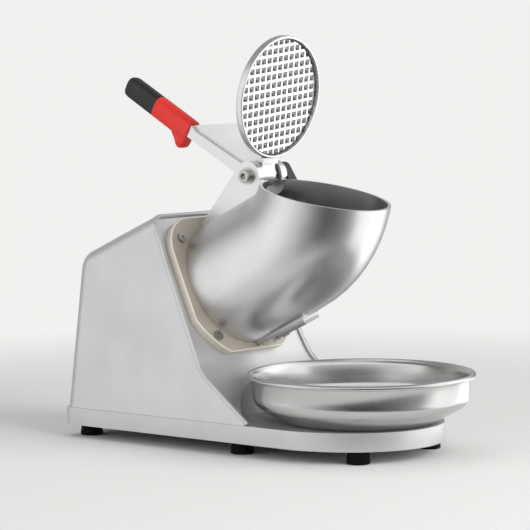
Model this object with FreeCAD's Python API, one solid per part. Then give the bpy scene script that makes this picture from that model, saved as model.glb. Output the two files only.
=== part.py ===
# Table ice shaver with a motor, a slanted drum that bends up to its mouth, and a hand lever
# that presses a waffle disc onto the ice. Lengths are millimetres and angles are degrees.
# The origin is under the middle of the whole machine, on the table. +X points from the motor
# housing towards the bowl, +Z points up, and the machine is laid out evenly about Y = 0.
import FreeCAD
import Part
import math
import os

Vec = FreeCAD.Vector

# base
base_length = 369.4
base_width = 176.0
base_height = 17.0
base_nose_depth = 99.4
base_corner_radius = 10.0
base_wall = 2.5
base_edge_round = 0.8
bottom_plate_thickness = 1.5
bottom_plate_inset = 3.5
vent_slot_width = 4.0
vent_slot_length = 60.0
vent_slot_pitch = 11.0
vent_slot_count = 7
vent_start = 60.0
vent_room_length = 62.0

# feet
foot_height = 12.0
foot_top_diameter = 19.5
foot_bottom_diameter = 22.0
foot_rear_inset_x = 15.5
foot_rear_inset_y = 23.8
foot_middle_behind_nose = 160.9
foot_middle_inset_y = 19.6
foot_front_behind_nose = 38.6
foot_front_inset_y = 33.5
foot_screw_diameter = 4.0
foot_recess_depth = 6.0
foot_recess_diameter = 9.5
foot_screw_grip = 10.0
foot_edge_round = 1.5
boss_wall = 3.0

# bowl
bowl_rim_diameter = 210.0
bowl_rim_reach = 6.0
bowl_corner_radius = 12.0
bowl_corner_height = 24.0
bowl_under_slope = 30.0
bowl_wall_flare = 1.0
bowl_depth = 45.0
bowl_sheet = 1.0
bowl_rim_bead_diameter = 4.6
bowl_overhang = 29.0
bowl_recess_gap = 5.0
bowl_room_height = 120.0

# motor housing
housing_wall = 2.5
housing_rear_inset = 1.8
housing_rear_lean = 3.75
housing_side_lean = 4.9
housing_roof_slope = 24.2
housing_rear_corner_height = 145.0
housing_rear_corner_radius = 20.0
housing_edge_round = 13.0
housing_screw_ahead_of_rear = 44.0
housing_screw_ahead_of_drum = 20.0
housing_screw_inset_y = 12.0
housing_screw_grip = 9.0
housing_tab_height = 12.0
housing_tab_web = 6.0
lip_width = 5.0
lip_proud = 2.0
front_flat_below_flange = 0.7
front_sweep_radius = 50.0
front_foot_angle = 54.0

# drum and its elbow
drum_axis_behind_nose = 226.4
drum_axis_height = 148.5
drum_tilt = 26.0
drum_outer_diameter = 123.0
drum_wall = 3.0
drum_back_wall = 4.0
drum_straight_length = 77.5
elbow_inner_radius = 15.5
elbow_angle = 51.5

# flange plate between housing and drum
flange_thickness = 8.0
flange_below_drum = 5.8
flange_above_drum = 8.5
flange_beside_drum_low = 11.0
flange_beside_drum_high = 4.0
flange_round_outside_drum = 15.8
flange_top_corner_radius = 36.0
flange_screw_outside_drum = 9.0
flange_screw_diameter = 5.0
flange_screw_grip = 2.0
flange_edge_chamfer = 0.7

# hinge
ear_thickness = 8.0
ear_round_radius = 14.0
ear_gap = 26.0
ear_tip_from_flange = 5.6
ear_room_radius = 23.0
hinge_bolt_diameter = 7.0
hinge_head_diameter = 12.0
hinge_head_height = 5.0
hinge_washer_diameter = 16.0
hinge_washer_thickness = 1.5
hinge_nut_width = 11.0
hinge_nut_height = 6.5
running_clearance = 0.06
side_clearance = 0.4

# lever, neck and arm
barrel_radius = 11.0
barrel_far_gap = 5.0
cam_height = 2.2
cam_angle = 71.0
lever_open_angle = 150.0
arm_width = 12.0
arm_low = 12.3
arm_high = -0.5
arm_shoulder = 94.0
arm_core_width = 9.0
arm_core_low = 11.0
arm_core_high = -2.5
web_thickness = 5.0
web_rise = 1.5
grip_red_length = 49.0
grip_black_length = 43.0
grip_low = 18.6
grip_high = 2.7
grip_width = 16.0
grip_round = 7.0
guard_drop = 9.5
guard_length = 20.0

# press disc
disc_wall_gap = 0.9
disc_thickness = 7.0
disc_plate = 2.2
disc_rim_width = 2.5
disc_open_angle = 80.0
disc_centre_off_bend = 1.0
disc_face_ahead_of_pivot = 12.0
waffle_pitch = 8.0
waffle_rib = 3.2
waffle_recess = 3.4
waffle_channel = 2.0
waffle_turn = 6.8
neck_width = 22.0
neck_pad_length = 26.0
neck_pad_thickness = 4.0
neck_behind_face = 3.5
disc_screw_diameter = 5.0
disc_screw_spacing = 15.0

# blade, its holder and the chute
outlet_turn = 12.0
blade_slot_start = 28.0
blade_slot_length = 32.0
blade_slot_low_side = 10.2
blade_slot_high_side = 9.6
drum_pad_width = 27.0
drum_pad_start = 1.0
drum_pad_length = 61.5
drum_pad_proud = 0.6
drum_pad_ramp = 2.0
holder_thickness = 2.5
blade_width = 9.4
blade_thickness = 1.4
blade_tilt = 12.0
blade_edge_inside = 0.6
blade_screw_diameter = 2.5
blade_screw_inset = 8.0
blade_seat_high_side = 3.0
shavings_slot_low_side = 1.5
holder_bolt_from_flange = 20.0
holder_bolt_side = 8.0
holder_bolt_grip = 3.2
holder_bolt_diameter = 4.0
holder_bolt_width = 7.0
holder_bolt_head = 4.0
chute_sheet = 1.2
chute_start = 26.0
chute_length = 35.5
chute_width = 25.0
chute_drop = 3.0

# motor
motor_diameter = 88.0
motor_can_wall = 3.0
motor_can_share = 0.46
motor_cap_length = 12.0
stator_bore = 60.0
stator_from_front = 9.0
stator_share = 0.64
air_gap = 0.8
bearing_outer_diameter = 28.0
bearing_width = 8.0
shaft_diameter = 12.0
cap_spigot_diameter = 32.0
motor_bolt_circle = 97.0
motor_bolt_diameter = 4.0
fan_diameter = 70.0
fan_width = 6.0
hopper_screw_circle = 74.0
hopper_screw_diameter = 5.0
hopper_screw_grip = 7.5
seal_outer_diameter = 24.0

# impeller
impeller_gap = 1.5
impeller_plate = 3.0
impeller_from_back_wall = 4.0
impeller_hub_diameter = 30.0
paddle_count = 3
paddle_thickness = 4.0
paddle_length = 36.0
impeller_nut_width = 19.0
impeller_nut_height = 10.0

# safety switch beside the far ear
switch_cover_depth = 14.0
switch_cover_wall = 1.8
switch_cover_ahead = 14.5
switch_cover_behind = 44.0
switch_cover_rise = 15.5
switch_cover_front_rise = 8.5
switch_cover_tail_rise = -8.0
switch_cover_low = 24.0
switch_cover_corner_radius = 7.0
switch_body_length = 9.4
switch_body_width = 7.4
switch_body_depth = 6.0
switch_body_behind_plunger = 2.0
switch_body_above_plunger = 1.2
plunger_diameter = 3.0
plunger_offset = 8.6
plunger_travel = 2.0
plunger_tip_gap = 2.4
plunger_stand_out = 0.8
cover_screw_diameter = 3.0
cover_screw_far_behind = 38.0
cover_screw_far_drop = 10.5
cover_screw_near_behind = 17.0
cover_screw_near_drop = 2.0

# rear wall fittings
gland_height = 30.0
gland_side = 45.0
gland_thread_diameter = 16.0
gland_collar_diameter = 24.0
gland_collar_length = 4.0
gland_bore_diameter = 8.0
gland_thread_length = 12.0
gland_nut_height = 5.0
gland_edge = 0.8
rocker_height = 62.0
rocker_side = 45.0
rocker_width = 13.0
rocker_length = 19.0
bezel_border = 2.5
bezel_proud = 1.5
bezel_depth = 16.0
rocker_tilt = 9.0
rocker_pin_diameter = 2.4
rocker_pin_depth = 3.0
rocker_pin_reach = 0.9
rocker_body_depth = 6.0
rocker_crest = 0.6
rocker_scoop_diameter = 26.0
rocker_scoop_depth = 17.3

thread_clearance = 0.05
seat_clearance = 0.3
cut_margin = 1.0

# derived places
overall_length = base_length + bowl_overhang
base_rear_x = -overall_length / 2
base_front_x = base_rear_x + base_length
base_nose_x = base_front_x - base_nose_depth
base_bottom_z = foot_height
base_top_z = base_bottom_z + base_height
bowl_x = base_front_x + bowl_overhang - bowl_rim_diameter / 2
bowl_wall_radius = bowl_rim_diameter / 2 - bowl_rim_reach
drum_x = base_front_x - drum_axis_behind_nose
drum_outer = drum_outer_diameter / 2
drum_inner = drum_outer - drum_wall
elbow_radius = drum_outer + elbow_inner_radius
flange_bottom = drum_outer + flange_below_drum
flange_top = drum_outer + flange_above_drum
flange_bottom_half_width = drum_outer + flange_beside_drum_low
flange_top_half_width = drum_outer + flange_beside_drum_high
flange_screw_circle = 2 * (drum_outer + flange_screw_outside_drum)
drum_pad_depth = drum_outer + drum_pad_proud
disc_diameter = 2 * (drum_inner - disc_wall_gap)
disc_centre_from_pivot = elbow_radius - disc_centre_off_bend
motor_can_length = motor_can_share * (base_length - drum_axis_behind_nose)
stator_length = stator_share * motor_can_length
housing_face_s = -flange_thickness
housing_inner_s = housing_face_s - housing_wall
ear_inner_y = ear_gap / 2
ear_outer_y = ear_inner_y + ear_thickness
tilt_cos = math.cos(math.radians(drum_tilt))
tilt_sin = math.sin(math.radians(drum_tilt))
pivot_x = drum_x + drum_straight_length * tilt_cos - elbow_radius * tilt_sin
pivot_z = drum_axis_height + drum_straight_length * tilt_sin + elbow_radius * tilt_cos
disc_back = disc_face_ahead_of_pivot - disc_thickness


def cylinder(x, y, z, axis, diameter, length):
    return Part.makeCylinder(diameter / 2, length, Vec(x, y, z), Vec(*axis))


def block(x0, x1, y0, y1, z0, z1):
    return Part.makeBox(x1 - x0, y1 - y0, z1 - z0, Vec(x0, y0, z0))


def side_prism(outline, y0, y1):
    # extrudes an outline of (x, z) points from y0 to y1
    points = [Vec(x, y0, z) for x, z in outline]
    face = Part.Face(Part.makePolygon(points + [points[0]]))
    return face.extrude(Vec(0, y1 - y0, 0))


def rounded_outline(corners, radii, make_point):
    # closed outline through the corners, each rounded by its own radius
    edges = []
    count = len(corners)
    starts = []
    ends = []
    mids = []
    for i in range(count):
        here = Vec(corners[i][0], corners[i][1], 0)
        before = Vec(corners[i - 1][0], corners[i - 1][1], 0) - here
        after = Vec(corners[(i + 1) % count][0], corners[(i + 1) % count][1], 0) - here
        half_turn = before.getAngle(after) / 2
        reach = radii[i] / math.tan(half_turn)
        before.normalize()
        after.normalize()
        middle = before + after
        middle.normalize()
        starts.append(here + before * reach)
        ends.append(here + after * reach)
        mids.append(here + middle * (radii[i] / math.sin(half_turn) - radii[i]))
    for i in range(count):
        start = make_point(starts[i].x, starts[i].y)
        end = make_point(ends[i].x, ends[i].y)
        if radii[i] > 0:
            edges.append(Part.Arc(start, make_point(mids[i].x, mids[i].y), end).toShape())
        following = starts[(i + 1) % count]
        edges.append(Part.LineSegment(end, make_point(following.x, following.y)).toShape())
    return Part.Face(Part.Wire(edges))


def hex_prism(x, y, z, axis, width, height):
    # hexagon with its flats "width" apart, standing on (x, y, z) along the axis
    points = []
    for i in range(7):
        turn = math.radians(60 * i)
        points.append(Vec(width / math.sqrt(3) * math.cos(turn), width / math.sqrt(3) * math.sin(turn), 0))
    prism = Part.Face(Part.makePolygon(points)).extrude(Vec(0, 0, height))
    prism.Placement = FreeCAD.Placement(Vec(x, y, z), FreeCAD.Rotation(Vec(0, 0, 1), Vec(*axis)))
    return prism


def pan_screw(x, y, z, axis, diameter, length):
    # (x, y, z) is under the head, and the axis points out of the head
    head_height = 0.55 * diameter
    head = cylinder(x, y, z, axis, 1.9 * diameter, head_height)
    socket = hex_prism(x, y, z, axis, 0.75 * diameter, head_height + cut_margin)
    socket.translate(Vec(*axis) * (0.4 * head_height))
    back = [-part for part in axis]
    return head.cut(socket).fuse(cylinder(x, y, z, back, diameter, length)).removeSplitter()


def drum_frame(shape):
    # drum coordinates: x runs along the drum's axis from the flange plate's front face,
    # and z is square to the axis, up
    shape.rotate(Vec(0, 0, 0), Vec(0, 1, 0), -drum_tilt)
    shape.translate(Vec(drum_x, 0, drum_axis_height))
    return shape


def disc_frame(shape):
    # disc coordinates: x runs from the pivot along the press disc, and z points to its back
    shape.rotate(Vec(0, 0, 0), Vec(0, 1, 0), -disc_open_angle)
    shape.translate(Vec(pivot_x, 0, pivot_z))
    return shape


def arm_frame(shape):
    # arm coordinates: x runs from the pivot along the lever, and z points to its underside
    shape.rotate(Vec(0, 0, 0), Vec(0, 1, 0), -lever_open_angle)
    shape.translate(Vec(pivot_x, 0, pivot_z))
    return shape


# ---------------------------------------------------------------- base

def base_outline(inset, z):
    half = base_width / 2 - inset
    rear = base_rear_x + inset
    radius = base_corner_radius - inset
    nose_centre = Vec(base_nose_x, 0, z)
    nose = Part.Ellipse(nose_centre + Vec(base_nose_depth - inset, 0, 0), nose_centre + Vec(0, half, 0),
                        nose_centre)
    diagonal = radius * (1 - math.sqrt(0.5))
    edges = [
        nose.toShape(-math.pi / 2, math.pi / 2),
        Part.LineSegment(Vec(base_nose_x, -half, z), Vec(rear + radius, -half, z)).toShape(),
        Part.Arc(Vec(rear + radius, -half, z), Vec(rear + diagonal, -half + diagonal, z),
                 Vec(rear, -half + radius, z)).toShape(),
        Part.LineSegment(Vec(rear, -half + radius, z), Vec(rear, half - radius, z)).toShape(),
        Part.Arc(Vec(rear, half - radius, z), Vec(rear + diagonal, half - diagonal, z),
                 Vec(rear + radius, half, z)).toShape(),
        Part.LineSegment(Vec(rear + radius, half, z), Vec(base_nose_x, half, z)).toShape(),
    ]
    return Part.Face(Part.Wire(edges))


def foot_places():
    half = base_width / 2
    rear_x = base_rear_x + foot_rear_inset_x
    places = []
    for side in (-1, 1):
        places.append((rear_x, side * (half - foot_rear_inset_y)))
        places.append((base_front_x - foot_middle_behind_nose, side * (half - foot_middle_inset_y)))
        places.append((base_front_x - foot_front_behind_nose, side * (half - foot_front_inset_y)))
    return places


def housing_screw_places():
    half = base_width / 2 - base_wall
    front_x = drum_x + housing_screw_ahead_of_drum
    rear_x = base_rear_x + housing_screw_ahead_of_rear
    side = half - housing_screw_inset_y
    return [(rear_x, -side), (rear_x, side), (front_x, -side), (front_x, side)]


def make_base_shell():
    shell = base_outline(0, base_bottom_z).extrude(Vec(0, 0, base_height))
    top_edges = [edge for edge in shell.Edges if edge.BoundBox.ZMin > base_top_z - 0.01]
    shell = shell.makeFillet(base_edge_round, top_edges)
    hollow = base_outline(base_wall, base_bottom_z - cut_margin)
    shell = shell.cut(hollow.extrude(Vec(0, 0, base_height - base_wall + cut_margin)))
    boss_bottom = base_bottom_z + bottom_plate_thickness
    boss_diameter = foot_screw_diameter + 2 * boss_wall
    hole = foot_screw_diameter + 2 * thread_clearance
    boss_height = base_top_z - cut_margin - boss_bottom
    for x, y in foot_places():
        shell = shell.fuse(cylinder(x, y, boss_bottom, (0, 0, 1), boss_diameter, boss_height))
        shell = shell.cut(cylinder(x, y, boss_bottom - cut_margin, (0, 0, 1), hole,
                                   foot_screw_grip + 2 * cut_margin + cut_margin))
    for x, y in housing_screw_places():
        shell = shell.cut(cylinder(x, y, base_top_z - 10, (0, 0, 1), hole, 20))
    room_half = vent_slot_length / 2
    room_x = base_rear_x + vent_start
    air_room = block(room_x, room_x + vent_room_length, -room_half, room_half,
                     base_top_z - base_wall - cut_margin, base_top_z + cut_margin)
    return shell.cut(air_room).removeSplitter()


def make_bottom_plate():
    plate = base_outline(bottom_plate_inset, base_bottom_z).extrude(Vec(0, 0, bottom_plate_thickness))
    hole = foot_screw_diameter + 2 * thread_clearance
    for x, y in foot_places():
        plate = plate.cut(cylinder(x, y, base_bottom_z - cut_margin, (0, 0, 1), hole, base_height))
    for i in range(vent_slot_count):
        x = base_rear_x + vent_start + i * vent_slot_pitch
        plate = plate.cut(block(x, x + vent_slot_width, -vent_slot_length / 2, vent_slot_length / 2,
                                base_bottom_z - cut_margin, base_top_z))
    return plate


def make_feet():
    feet = []
    hole = foot_screw_diameter + 2 * thread_clearance
    for x, y in foot_places():
        foot = Part.makeCone(foot_bottom_diameter / 2, foot_top_diameter / 2, foot_height, Vec(x, y, 0))
        foot = foot.makeFillet(foot_edge_round, [edge for edge in foot.Edges if edge.BoundBox.ZMax < 0.1])
        foot = foot.cut(cylinder(x, y, -cut_margin, (0, 0, 1), foot_recess_diameter,
                                 foot_recess_depth + cut_margin))
        feet.append(foot.cut(cylinder(x, y, 0, (0, 0, 1), hole, foot_height + cut_margin)))
    return Part.makeCompound(feet)


def make_foot_screws():
    length = foot_height - foot_recess_depth + foot_screw_grip
    screws = [pan_screw(x, y, foot_recess_depth, (0, 0, -1), foot_screw_diameter, length)
              for x, y in foot_places()]
    return Part.makeCompound(screws)


# ---------------------------------------------------------------- housing

def housing_profile(inset, front_s):
    # side outline of the housing, moved in by "inset", with its front face at front_s in the
    # drum's coordinates; it ends on the base's top face
    lean = math.radians(housing_rear_lean)
    slope = math.radians(housing_roof_slope)
    corner_z = base_top_z + housing_rear_corner_height
    corner_x = base_rear_x + housing_rear_inset + housing_rear_corner_height * math.tan(lean)
    roof_drop = inset / math.cos(slope)
    rear_shift = inset / math.cos(lean)

    def roof_z(x):
        return corner_z + (x - corner_x) * math.tan(slope) - roof_drop

    rear_foot_x = base_rear_x + housing_rear_inset + rear_shift
    inner_corner_x = corner_x + rear_shift
    inner_corner_z = base_top_z + (inner_corner_x - rear_foot_x) / math.tan(lean)
    gap = roof_z(inner_corner_x) - inner_corner_z
    step = gap / (1 / math.tan(lean) - math.tan(slope))
    inner_corner_x += step
    inner_corner_z = roof_z(inner_corner_x)
    # front face: the drum's flange plane down to the sweep, an arc, and a straight end on the base
    face_x = drum_x + front_s * tilt_cos
    face_z = drum_axis_height + front_s * tilt_sin
    top_u = (roof_z(face_x) - face_z) / (tilt_cos + tilt_sin * math.tan(slope))
    top = (face_x - top_u * tilt_sin, face_z + top_u * tilt_cos)
    sweep_u = -flange_bottom - front_flat_below_flange
    sweep = (face_x - sweep_u * tilt_sin, face_z + sweep_u * tilt_cos)
    radius = front_sweep_radius + housing_face_s + lip_proud - front_s

    def on_sweep(angle):
        return (sweep[0] + radius * (tilt_cos - math.cos(angle)),
                sweep[1] - radius * (math.sin(angle) - tilt_sin))

    foot_angle = math.radians(front_foot_angle)
    bend = on_sweep((foot_angle + math.radians(drum_tilt)) / 2)
    end = on_sweep(foot_angle)
    foot = (end[0] + (end[1] - base_top_z) * math.tan(foot_angle), base_top_z)
    return (rear_foot_x, base_top_z), (inner_corner_x, inner_corner_z), top, sweep, bend, end, foot


def housing_block(inset, front_s, side_inset):
    # solid between the leaning side walls, with the roof and rear edges rounded
    rear, corner, top, sweep, bend, end, foot = housing_profile(inset, front_s)
    y0 = -base_width / 2
    radius = housing_rear_corner_radius - inset
    rear_dir = Vec(rear[0] - corner[0], 0, rear[1] - corner[1]).normalize()
    roof_dir = Vec(top[0] - corner[0], 0, top[1] - corner[1]).normalize()
    half_turn = rear_dir.getAngle(roof_dir) / 2
    middle = (rear_dir + roof_dir).normalize()
    at = Vec(corner[0], y0, corner[1])
    arc_start = at + rear_dir * (radius / math.tan(half_turn))
    arc_end = at + roof_dir * (radius / math.tan(half_turn))
    arc_mid = at + middle * (radius / math.sin(half_turn) - radius)

    def point(place):
        return Vec(place[0], y0, place[1])

    edges = [
        Part.LineSegment(point(rear), arc_start).toShape(),
        Part.Arc(arc_start, arc_mid, arc_end).toShape(),
        Part.LineSegment(arc_end, point(top)).toShape(),
        Part.LineSegment(point(top), point(sweep)).toShape(),
        Part.Arc(point(sweep), point(bend), point(end)).toShape(),
        Part.LineSegment(point(end), point(foot)).toShape(),
        Part.LineSegment(point(foot), point(rear)).toShape(),
    ]
    solid = Part.Face(Part.Wire(edges)).extrude(Vec(0, base_width, 0))
    half = base_width / 2 - side_inset
    for side in (-1, 1):
        cutter = block(-overall_length, overall_length, 0, base_width, -base_width, overall_length)
        if side < 0:
            cutter.translate(Vec(0, -base_width, 0))
        cutter.rotate(Vec(0, 0, 0), Vec(1, 0, 0), side * housing_side_lean)
        cutter.translate(Vec(0, side * half, base_top_z))
        solid = solid.cut(cutter)
    round_radius = housing_edge_round - side_inset
    if round_radius > 0:
        solid = solid.makeFillet(round_radius, side_edges(solid, (rear, corner, top)))
    return solid


def side_edges(solid, places):
    # the edges of both side walls along the rear wall and the roof
    rear, corner, top = places
    chosen = []
    for edge in solid.Edges:
        box = edge.BoundBox
        middle = edge.CenterOfMass
        if abs(middle.y) < base_width / 4 or box.YLength > base_width / 4 or box.ZMax < base_top_z + 1:
            continue
        on_roof = middle.z > corner[1] - 25 and middle.x < top[0] - 1 and box.XLength > 5
        on_rear = middle.x < corner[0] + 5 and box.ZLength > 20
        on_bend = middle.z > corner[1] - 25 and middle.x < corner[0] + 25
        if on_roof or on_rear or on_bend:
            chosen.append(edge)
    return chosen


def ring_places(circle, first_angle):
    # four places round the drum's axis
    turns = [math.radians(first_angle + 90 * i) for i in range(4)]
    return [(circle / 2 * math.cos(turn), circle / 2 * math.sin(turn)) for turn in turns]


def drum_ring_holes(circle, first_angle, diameter, s0, s1):
    return [drum_frame(cylinder(s0, y, u, (1, 0, 0), diameter, s1 - s0))
            for y, u in ring_places(circle, first_angle)]


def make_motor_housing():
    lip_front = housing_face_s + lip_proud
    outer = housing_block(0, lip_front, 0)
    recess_layer = housing_block(-cut_margin * 2, lip_front + cut_margin, lip_width)
    recess_layer = recess_layer.cut(housing_block(-cut_margin * 4, housing_face_s, lip_width - 2))
    outer = outer.cut(recess_layer)
    bowl_clear = bowl_rim_diameter / 2 + bowl_recess_gap
    outer = outer.cut(cylinder(bowl_x, 0, base_top_z - cut_margin, (0, 0, 1), 2 * bowl_clear,
                               bowl_room_height + cut_margin))
    inner = housing_block(housing_wall, housing_inner_s, housing_wall)
    inner = inner.cut(cylinder(bowl_x, 0, base_top_z - 2 * cut_margin, (0, 0, 1),
                               2 * (bowl_clear + housing_wall), bowl_room_height + 2 * cut_margin))
    below = inner.copy()
    below.translate(Vec(0, 0, -cut_margin))
    shell = outer.cut(inner.fuse(below))
    hole = foot_screw_diameter + 2 * thread_clearance
    for x, y in housing_screw_places():
        tab = cylinder(x, y, base_top_z, (0, 0, 1), hole + 2 * boss_wall, housing_tab_height)
        reach = base_width / 2 - abs(y) - housing_wall / 2
        y_wall = y + math.copysign(reach, y)
        tab = tab.fuse(block(x - housing_tab_web / 2, x + housing_tab_web / 2, min(y, y_wall), max(y, y_wall),
                             base_top_z, base_top_z + housing_tab_height))
        shell = shell.fuse(tab.common(outer))
        shell = shell.cut(cylinder(x, y, base_top_z - cut_margin, (0, 0, 1), hole,
                                   housing_screw_grip + 2 * cut_margin))
    spigot_room = cap_spigot_diameter + 2 * seat_clearance
    spigot_hole = cylinder(housing_inner_s - cut_margin, 0, 0, (1, 0, 0), spigot_room,
                           housing_wall + lip_proud + 2 * cut_margin)
    shell = shell.cut(drum_frame(spigot_hole))
    for hole_shape in drum_ring_holes(hopper_screw_circle, 0, hopper_screw_diameter + 2 * thread_clearance,
                                      housing_inner_s - 5, 5):
        shell = shell.cut(hole_shape)
    for hole_shape in drum_ring_holes(flange_screw_circle, 45, flange_screw_diameter + 2 * thread_clearance,
                                      housing_inner_s - 5, 5):
        shell = shell.cut(hole_shape)
    shell = shell.cut(rear_frame(gland_hole(), gland_side, gland_height))
    shell = shell.cut(rear_frame(bezel_hole(), rocker_side, rocker_height))
    return shell


def make_housing_screws():
    z = base_top_z - base_wall
    screws = [pan_screw(x, y, z, (0, 0, -1), foot_screw_diameter, base_wall + housing_screw_grip)
              for x, y in housing_screw_places()]
    return Part.makeCompound(screws)


# ---------------------------------------------------------------- rear wall fittings

def rear_frame(shape, side, height):
    # rear wall coordinates: z points out of the wall, y runs across it, x runs up it
    shape.rotate(Vec(0, 0, 0), Vec(0, 1, 0), -90 + housing_rear_lean)
    x = base_rear_x + housing_rear_inset + height * math.tan(math.radians(housing_rear_lean))
    shape.translate(Vec(x, side, base_top_z + height))
    return shape


def gland_hole():
    return cylinder(0, 0, -20, (0, 0, 1), gland_thread_diameter + 2 * thread_clearance, 40)


def make_cable_gland():
    collar = cylinder(0, 0, 0, (0, 0, 1), gland_collar_diameter, gland_collar_length)
    collar = collar.makeChamfer(gland_edge, [edge for edge in collar.Edges if edge.BoundBox.ZMin > 1])
    thread = cylinder(0, 0, -gland_thread_length, (0, 0, 1), gland_thread_diameter, gland_thread_length)
    nut = hex_prism(0, 0, -housing_wall - gland_nut_height, (0, 0, 1), gland_collar_diameter - 2,
                    gland_nut_height)
    gland = collar.fuse(thread).fuse(nut)
    bore = cylinder(0, 0, -20, (0, 0, 1), gland_bore_diameter, 40)
    return rear_frame(gland.cut(bore).removeSplitter(), gland_side, gland_height)


def bezel_hole():
    x = rocker_length / 2 + bezel_border - 1
    y = rocker_width / 2 + bezel_border - 1
    return block(-x - thread_clearance, x + thread_clearance, -y - thread_clearance, y + thread_clearance,
                 -20, 20)


def make_rocker_bezel():
    x = rocker_length / 2 + bezel_border
    y = rocker_width / 2 + bezel_border
    frame = block(-x, x, -y, y, 0, bezel_proud)
    frame = frame.fuse(block(-x + 1, x - 1, -y + 1, y - 1, -bezel_depth, 0))
    room_x = rocker_length / 2 + seat_clearance
    room_y = rocker_width / 2 + seat_clearance
    frame = frame.cut(block(-room_x, room_x, -room_y, room_y, -bezel_depth + 2, bezel_proud + cut_margin))
    pin_room = room_y + rocker_pin_reach + seat_clearance
    pin_hole = cylinder(0, -pin_room, -rocker_pin_depth, (0, 1, 0),
                        rocker_pin_diameter + 2 * running_clearance, 2 * pin_room)
    return rear_frame(frame.cut(pin_hole).removeSplitter(), rocker_side, rocker_height)


def make_power_rocker():
    # two faces that meet at a shallow V over the pivot, pressed down at its lower end
    half_length = rocker_length / 2 - 2 * seat_clearance
    half_width = rocker_width / 2
    rise = half_length * math.tan(math.radians(rocker_tilt))
    outline = [(-half_length, -rocker_body_depth), (half_length, -rocker_body_depth),
               (half_length, rocker_crest + rise), (0, rocker_crest), (-half_length, rocker_crest + rise)]
    rocker = side_prism(outline, -half_width, half_width)
    rocker = rocker.cut(cylinder(0, -half_width, -rocker_scoop_depth, (0, 1, 0), rocker_scoop_diameter,
                                 2 * half_width))
    pin = cylinder(0, -half_width - rocker_pin_reach, -rocker_pin_depth, (0, 1, 0), rocker_pin_diameter,
                   2 * (half_width + rocker_pin_reach))
    rocker = rocker.fuse(pin).removeSplitter()
    rocker.rotate(Vec(0, 0, -rocker_pin_depth), Vec(0, 1, 0), rocker_tilt)
    return rear_frame(rocker, rocker_side, rocker_height)


# ---------------------------------------------------------------- flange plate

def flange_half_outline():
    # (y, u) along one side: the round that follows the drum, as end, middle and end, then the top corner
    radius = drum_outer + flange_round_outside_drum
    corner = Vec(flange_top_half_width, flange_top, 0)
    side = Vec(flange_bottom_half_width, -flange_bottom, 0) - corner
    side.normalize()
    foot = -corner.dot(side)
    high = corner + side * (foot + math.sqrt(foot ** 2 + radius ** 2 - corner.dot(corner)))
    low = Vec(math.sqrt(radius ** 2 - flange_bottom ** 2), -flange_bottom, 0)
    middle = low + high
    middle.normalize()
    inward = Vec(-1, 0, 0)
    half_turn = side.getAngle(inward) / 2
    bisector = side + inward
    bisector.normalize()
    reach = flange_top_corner_radius / math.tan(half_turn)
    cut_back = flange_top_corner_radius / math.sin(half_turn) - flange_top_corner_radius
    return [low, middle * radius, high,
            corner + side * reach, corner + bisector * cut_back, corner + inward * reach]


def flange_face():
    half = flange_half_outline()
    edges = []
    for side in (1, -1):
        points = [Vec(-flange_thickness, side * point.x, point.y) for point in half]
        edges.append(Part.Arc(points[0], points[1], points[2]).toShape())
        edges.append(Part.LineSegment(points[2], points[3]).toShape())
        edges.append(Part.Arc(points[3], points[4], points[5]).toShape())
    for point in (half[0], half[-1]):
        edges.append(Part.LineSegment(Vec(-flange_thickness, point.x, point.y),
                                      Vec(-flange_thickness, -point.x, point.y)).toShape())
    return Part.Face(Part.Wire(Part.__sortEdges__(edges)))


def make_flange_plate():
    plate = flange_face().extrude(Vec(flange_thickness, 0, 0))
    front = [edge for edge in plate.Edges if edge.BoundBox.XMin > -0.01]
    plate = plate.makeChamfer(flange_edge_chamfer, front)
    plate = plate.cut(cylinder(-20, 0, 0, (1, 0, 0), cap_spigot_diameter + 2 * seat_clearance, 40))
    plate = drum_frame(plate)
    for hole in drum_ring_holes(flange_screw_circle, 45, flange_screw_diameter + 2 * thread_clearance,
                                -flange_thickness - 1, 1):
        plate = plate.cut(hole)
    for hole in drum_ring_holes(hopper_screw_circle, 0, hopper_screw_diameter + 2 * thread_clearance,
                                -flange_thickness - 1, 1):
        plate = plate.cut(hole)
    return plate


def drum_screws(circle, first_angle, diameter, s_head, length):
    screws = [drum_frame(pan_screw(s_head, y, u, (1, 0, 0), diameter, length))
              for y, u in ring_places(circle, first_angle)]
    return Part.makeCompound(screws)


def make_flange_screws():
    length = flange_thickness + housing_wall + flange_screw_grip
    return drum_screws(flange_screw_circle, 45, flange_screw_diameter, 0, length)


def make_hopper_screws():
    length = drum_back_wall + flange_thickness + housing_wall + hopper_screw_grip
    return drum_screws(hopper_screw_circle, 0, hopper_screw_diameter, drum_back_wall, length)


# ---------------------------------------------------------------- hopper

def elbow_solid(diameter):
    ring = Part.Wire(Part.Circle(Vec(drum_straight_length, 0, 0), Vec(1, 0, 0), diameter / 2).toShape())
    return Part.Face(ring).revolve(Vec(drum_straight_length, 0, elbow_radius), Vec(0, -1, 0), elbow_angle)


def elbow_inner_solid():
    # the inner elbow, with a short straight end that opens the mouth
    elbow = elbow_solid(2 * drum_inner)
    plug = cylinder(0, 0, 0, (1, 0, 0), 2 * drum_inner, 5)
    turn = FreeCAD.Rotation(Vec(0, 1, 0), -elbow_angle)
    plug.translate(Vec(0, 0, -elbow_radius))
    pivot = FreeCAD.Placement(Vec(drum_straight_length, 0, elbow_radius), turn)
    plug.Placement = pivot.multiply(plug.Placement)
    return elbow.fuse(plug)


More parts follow.
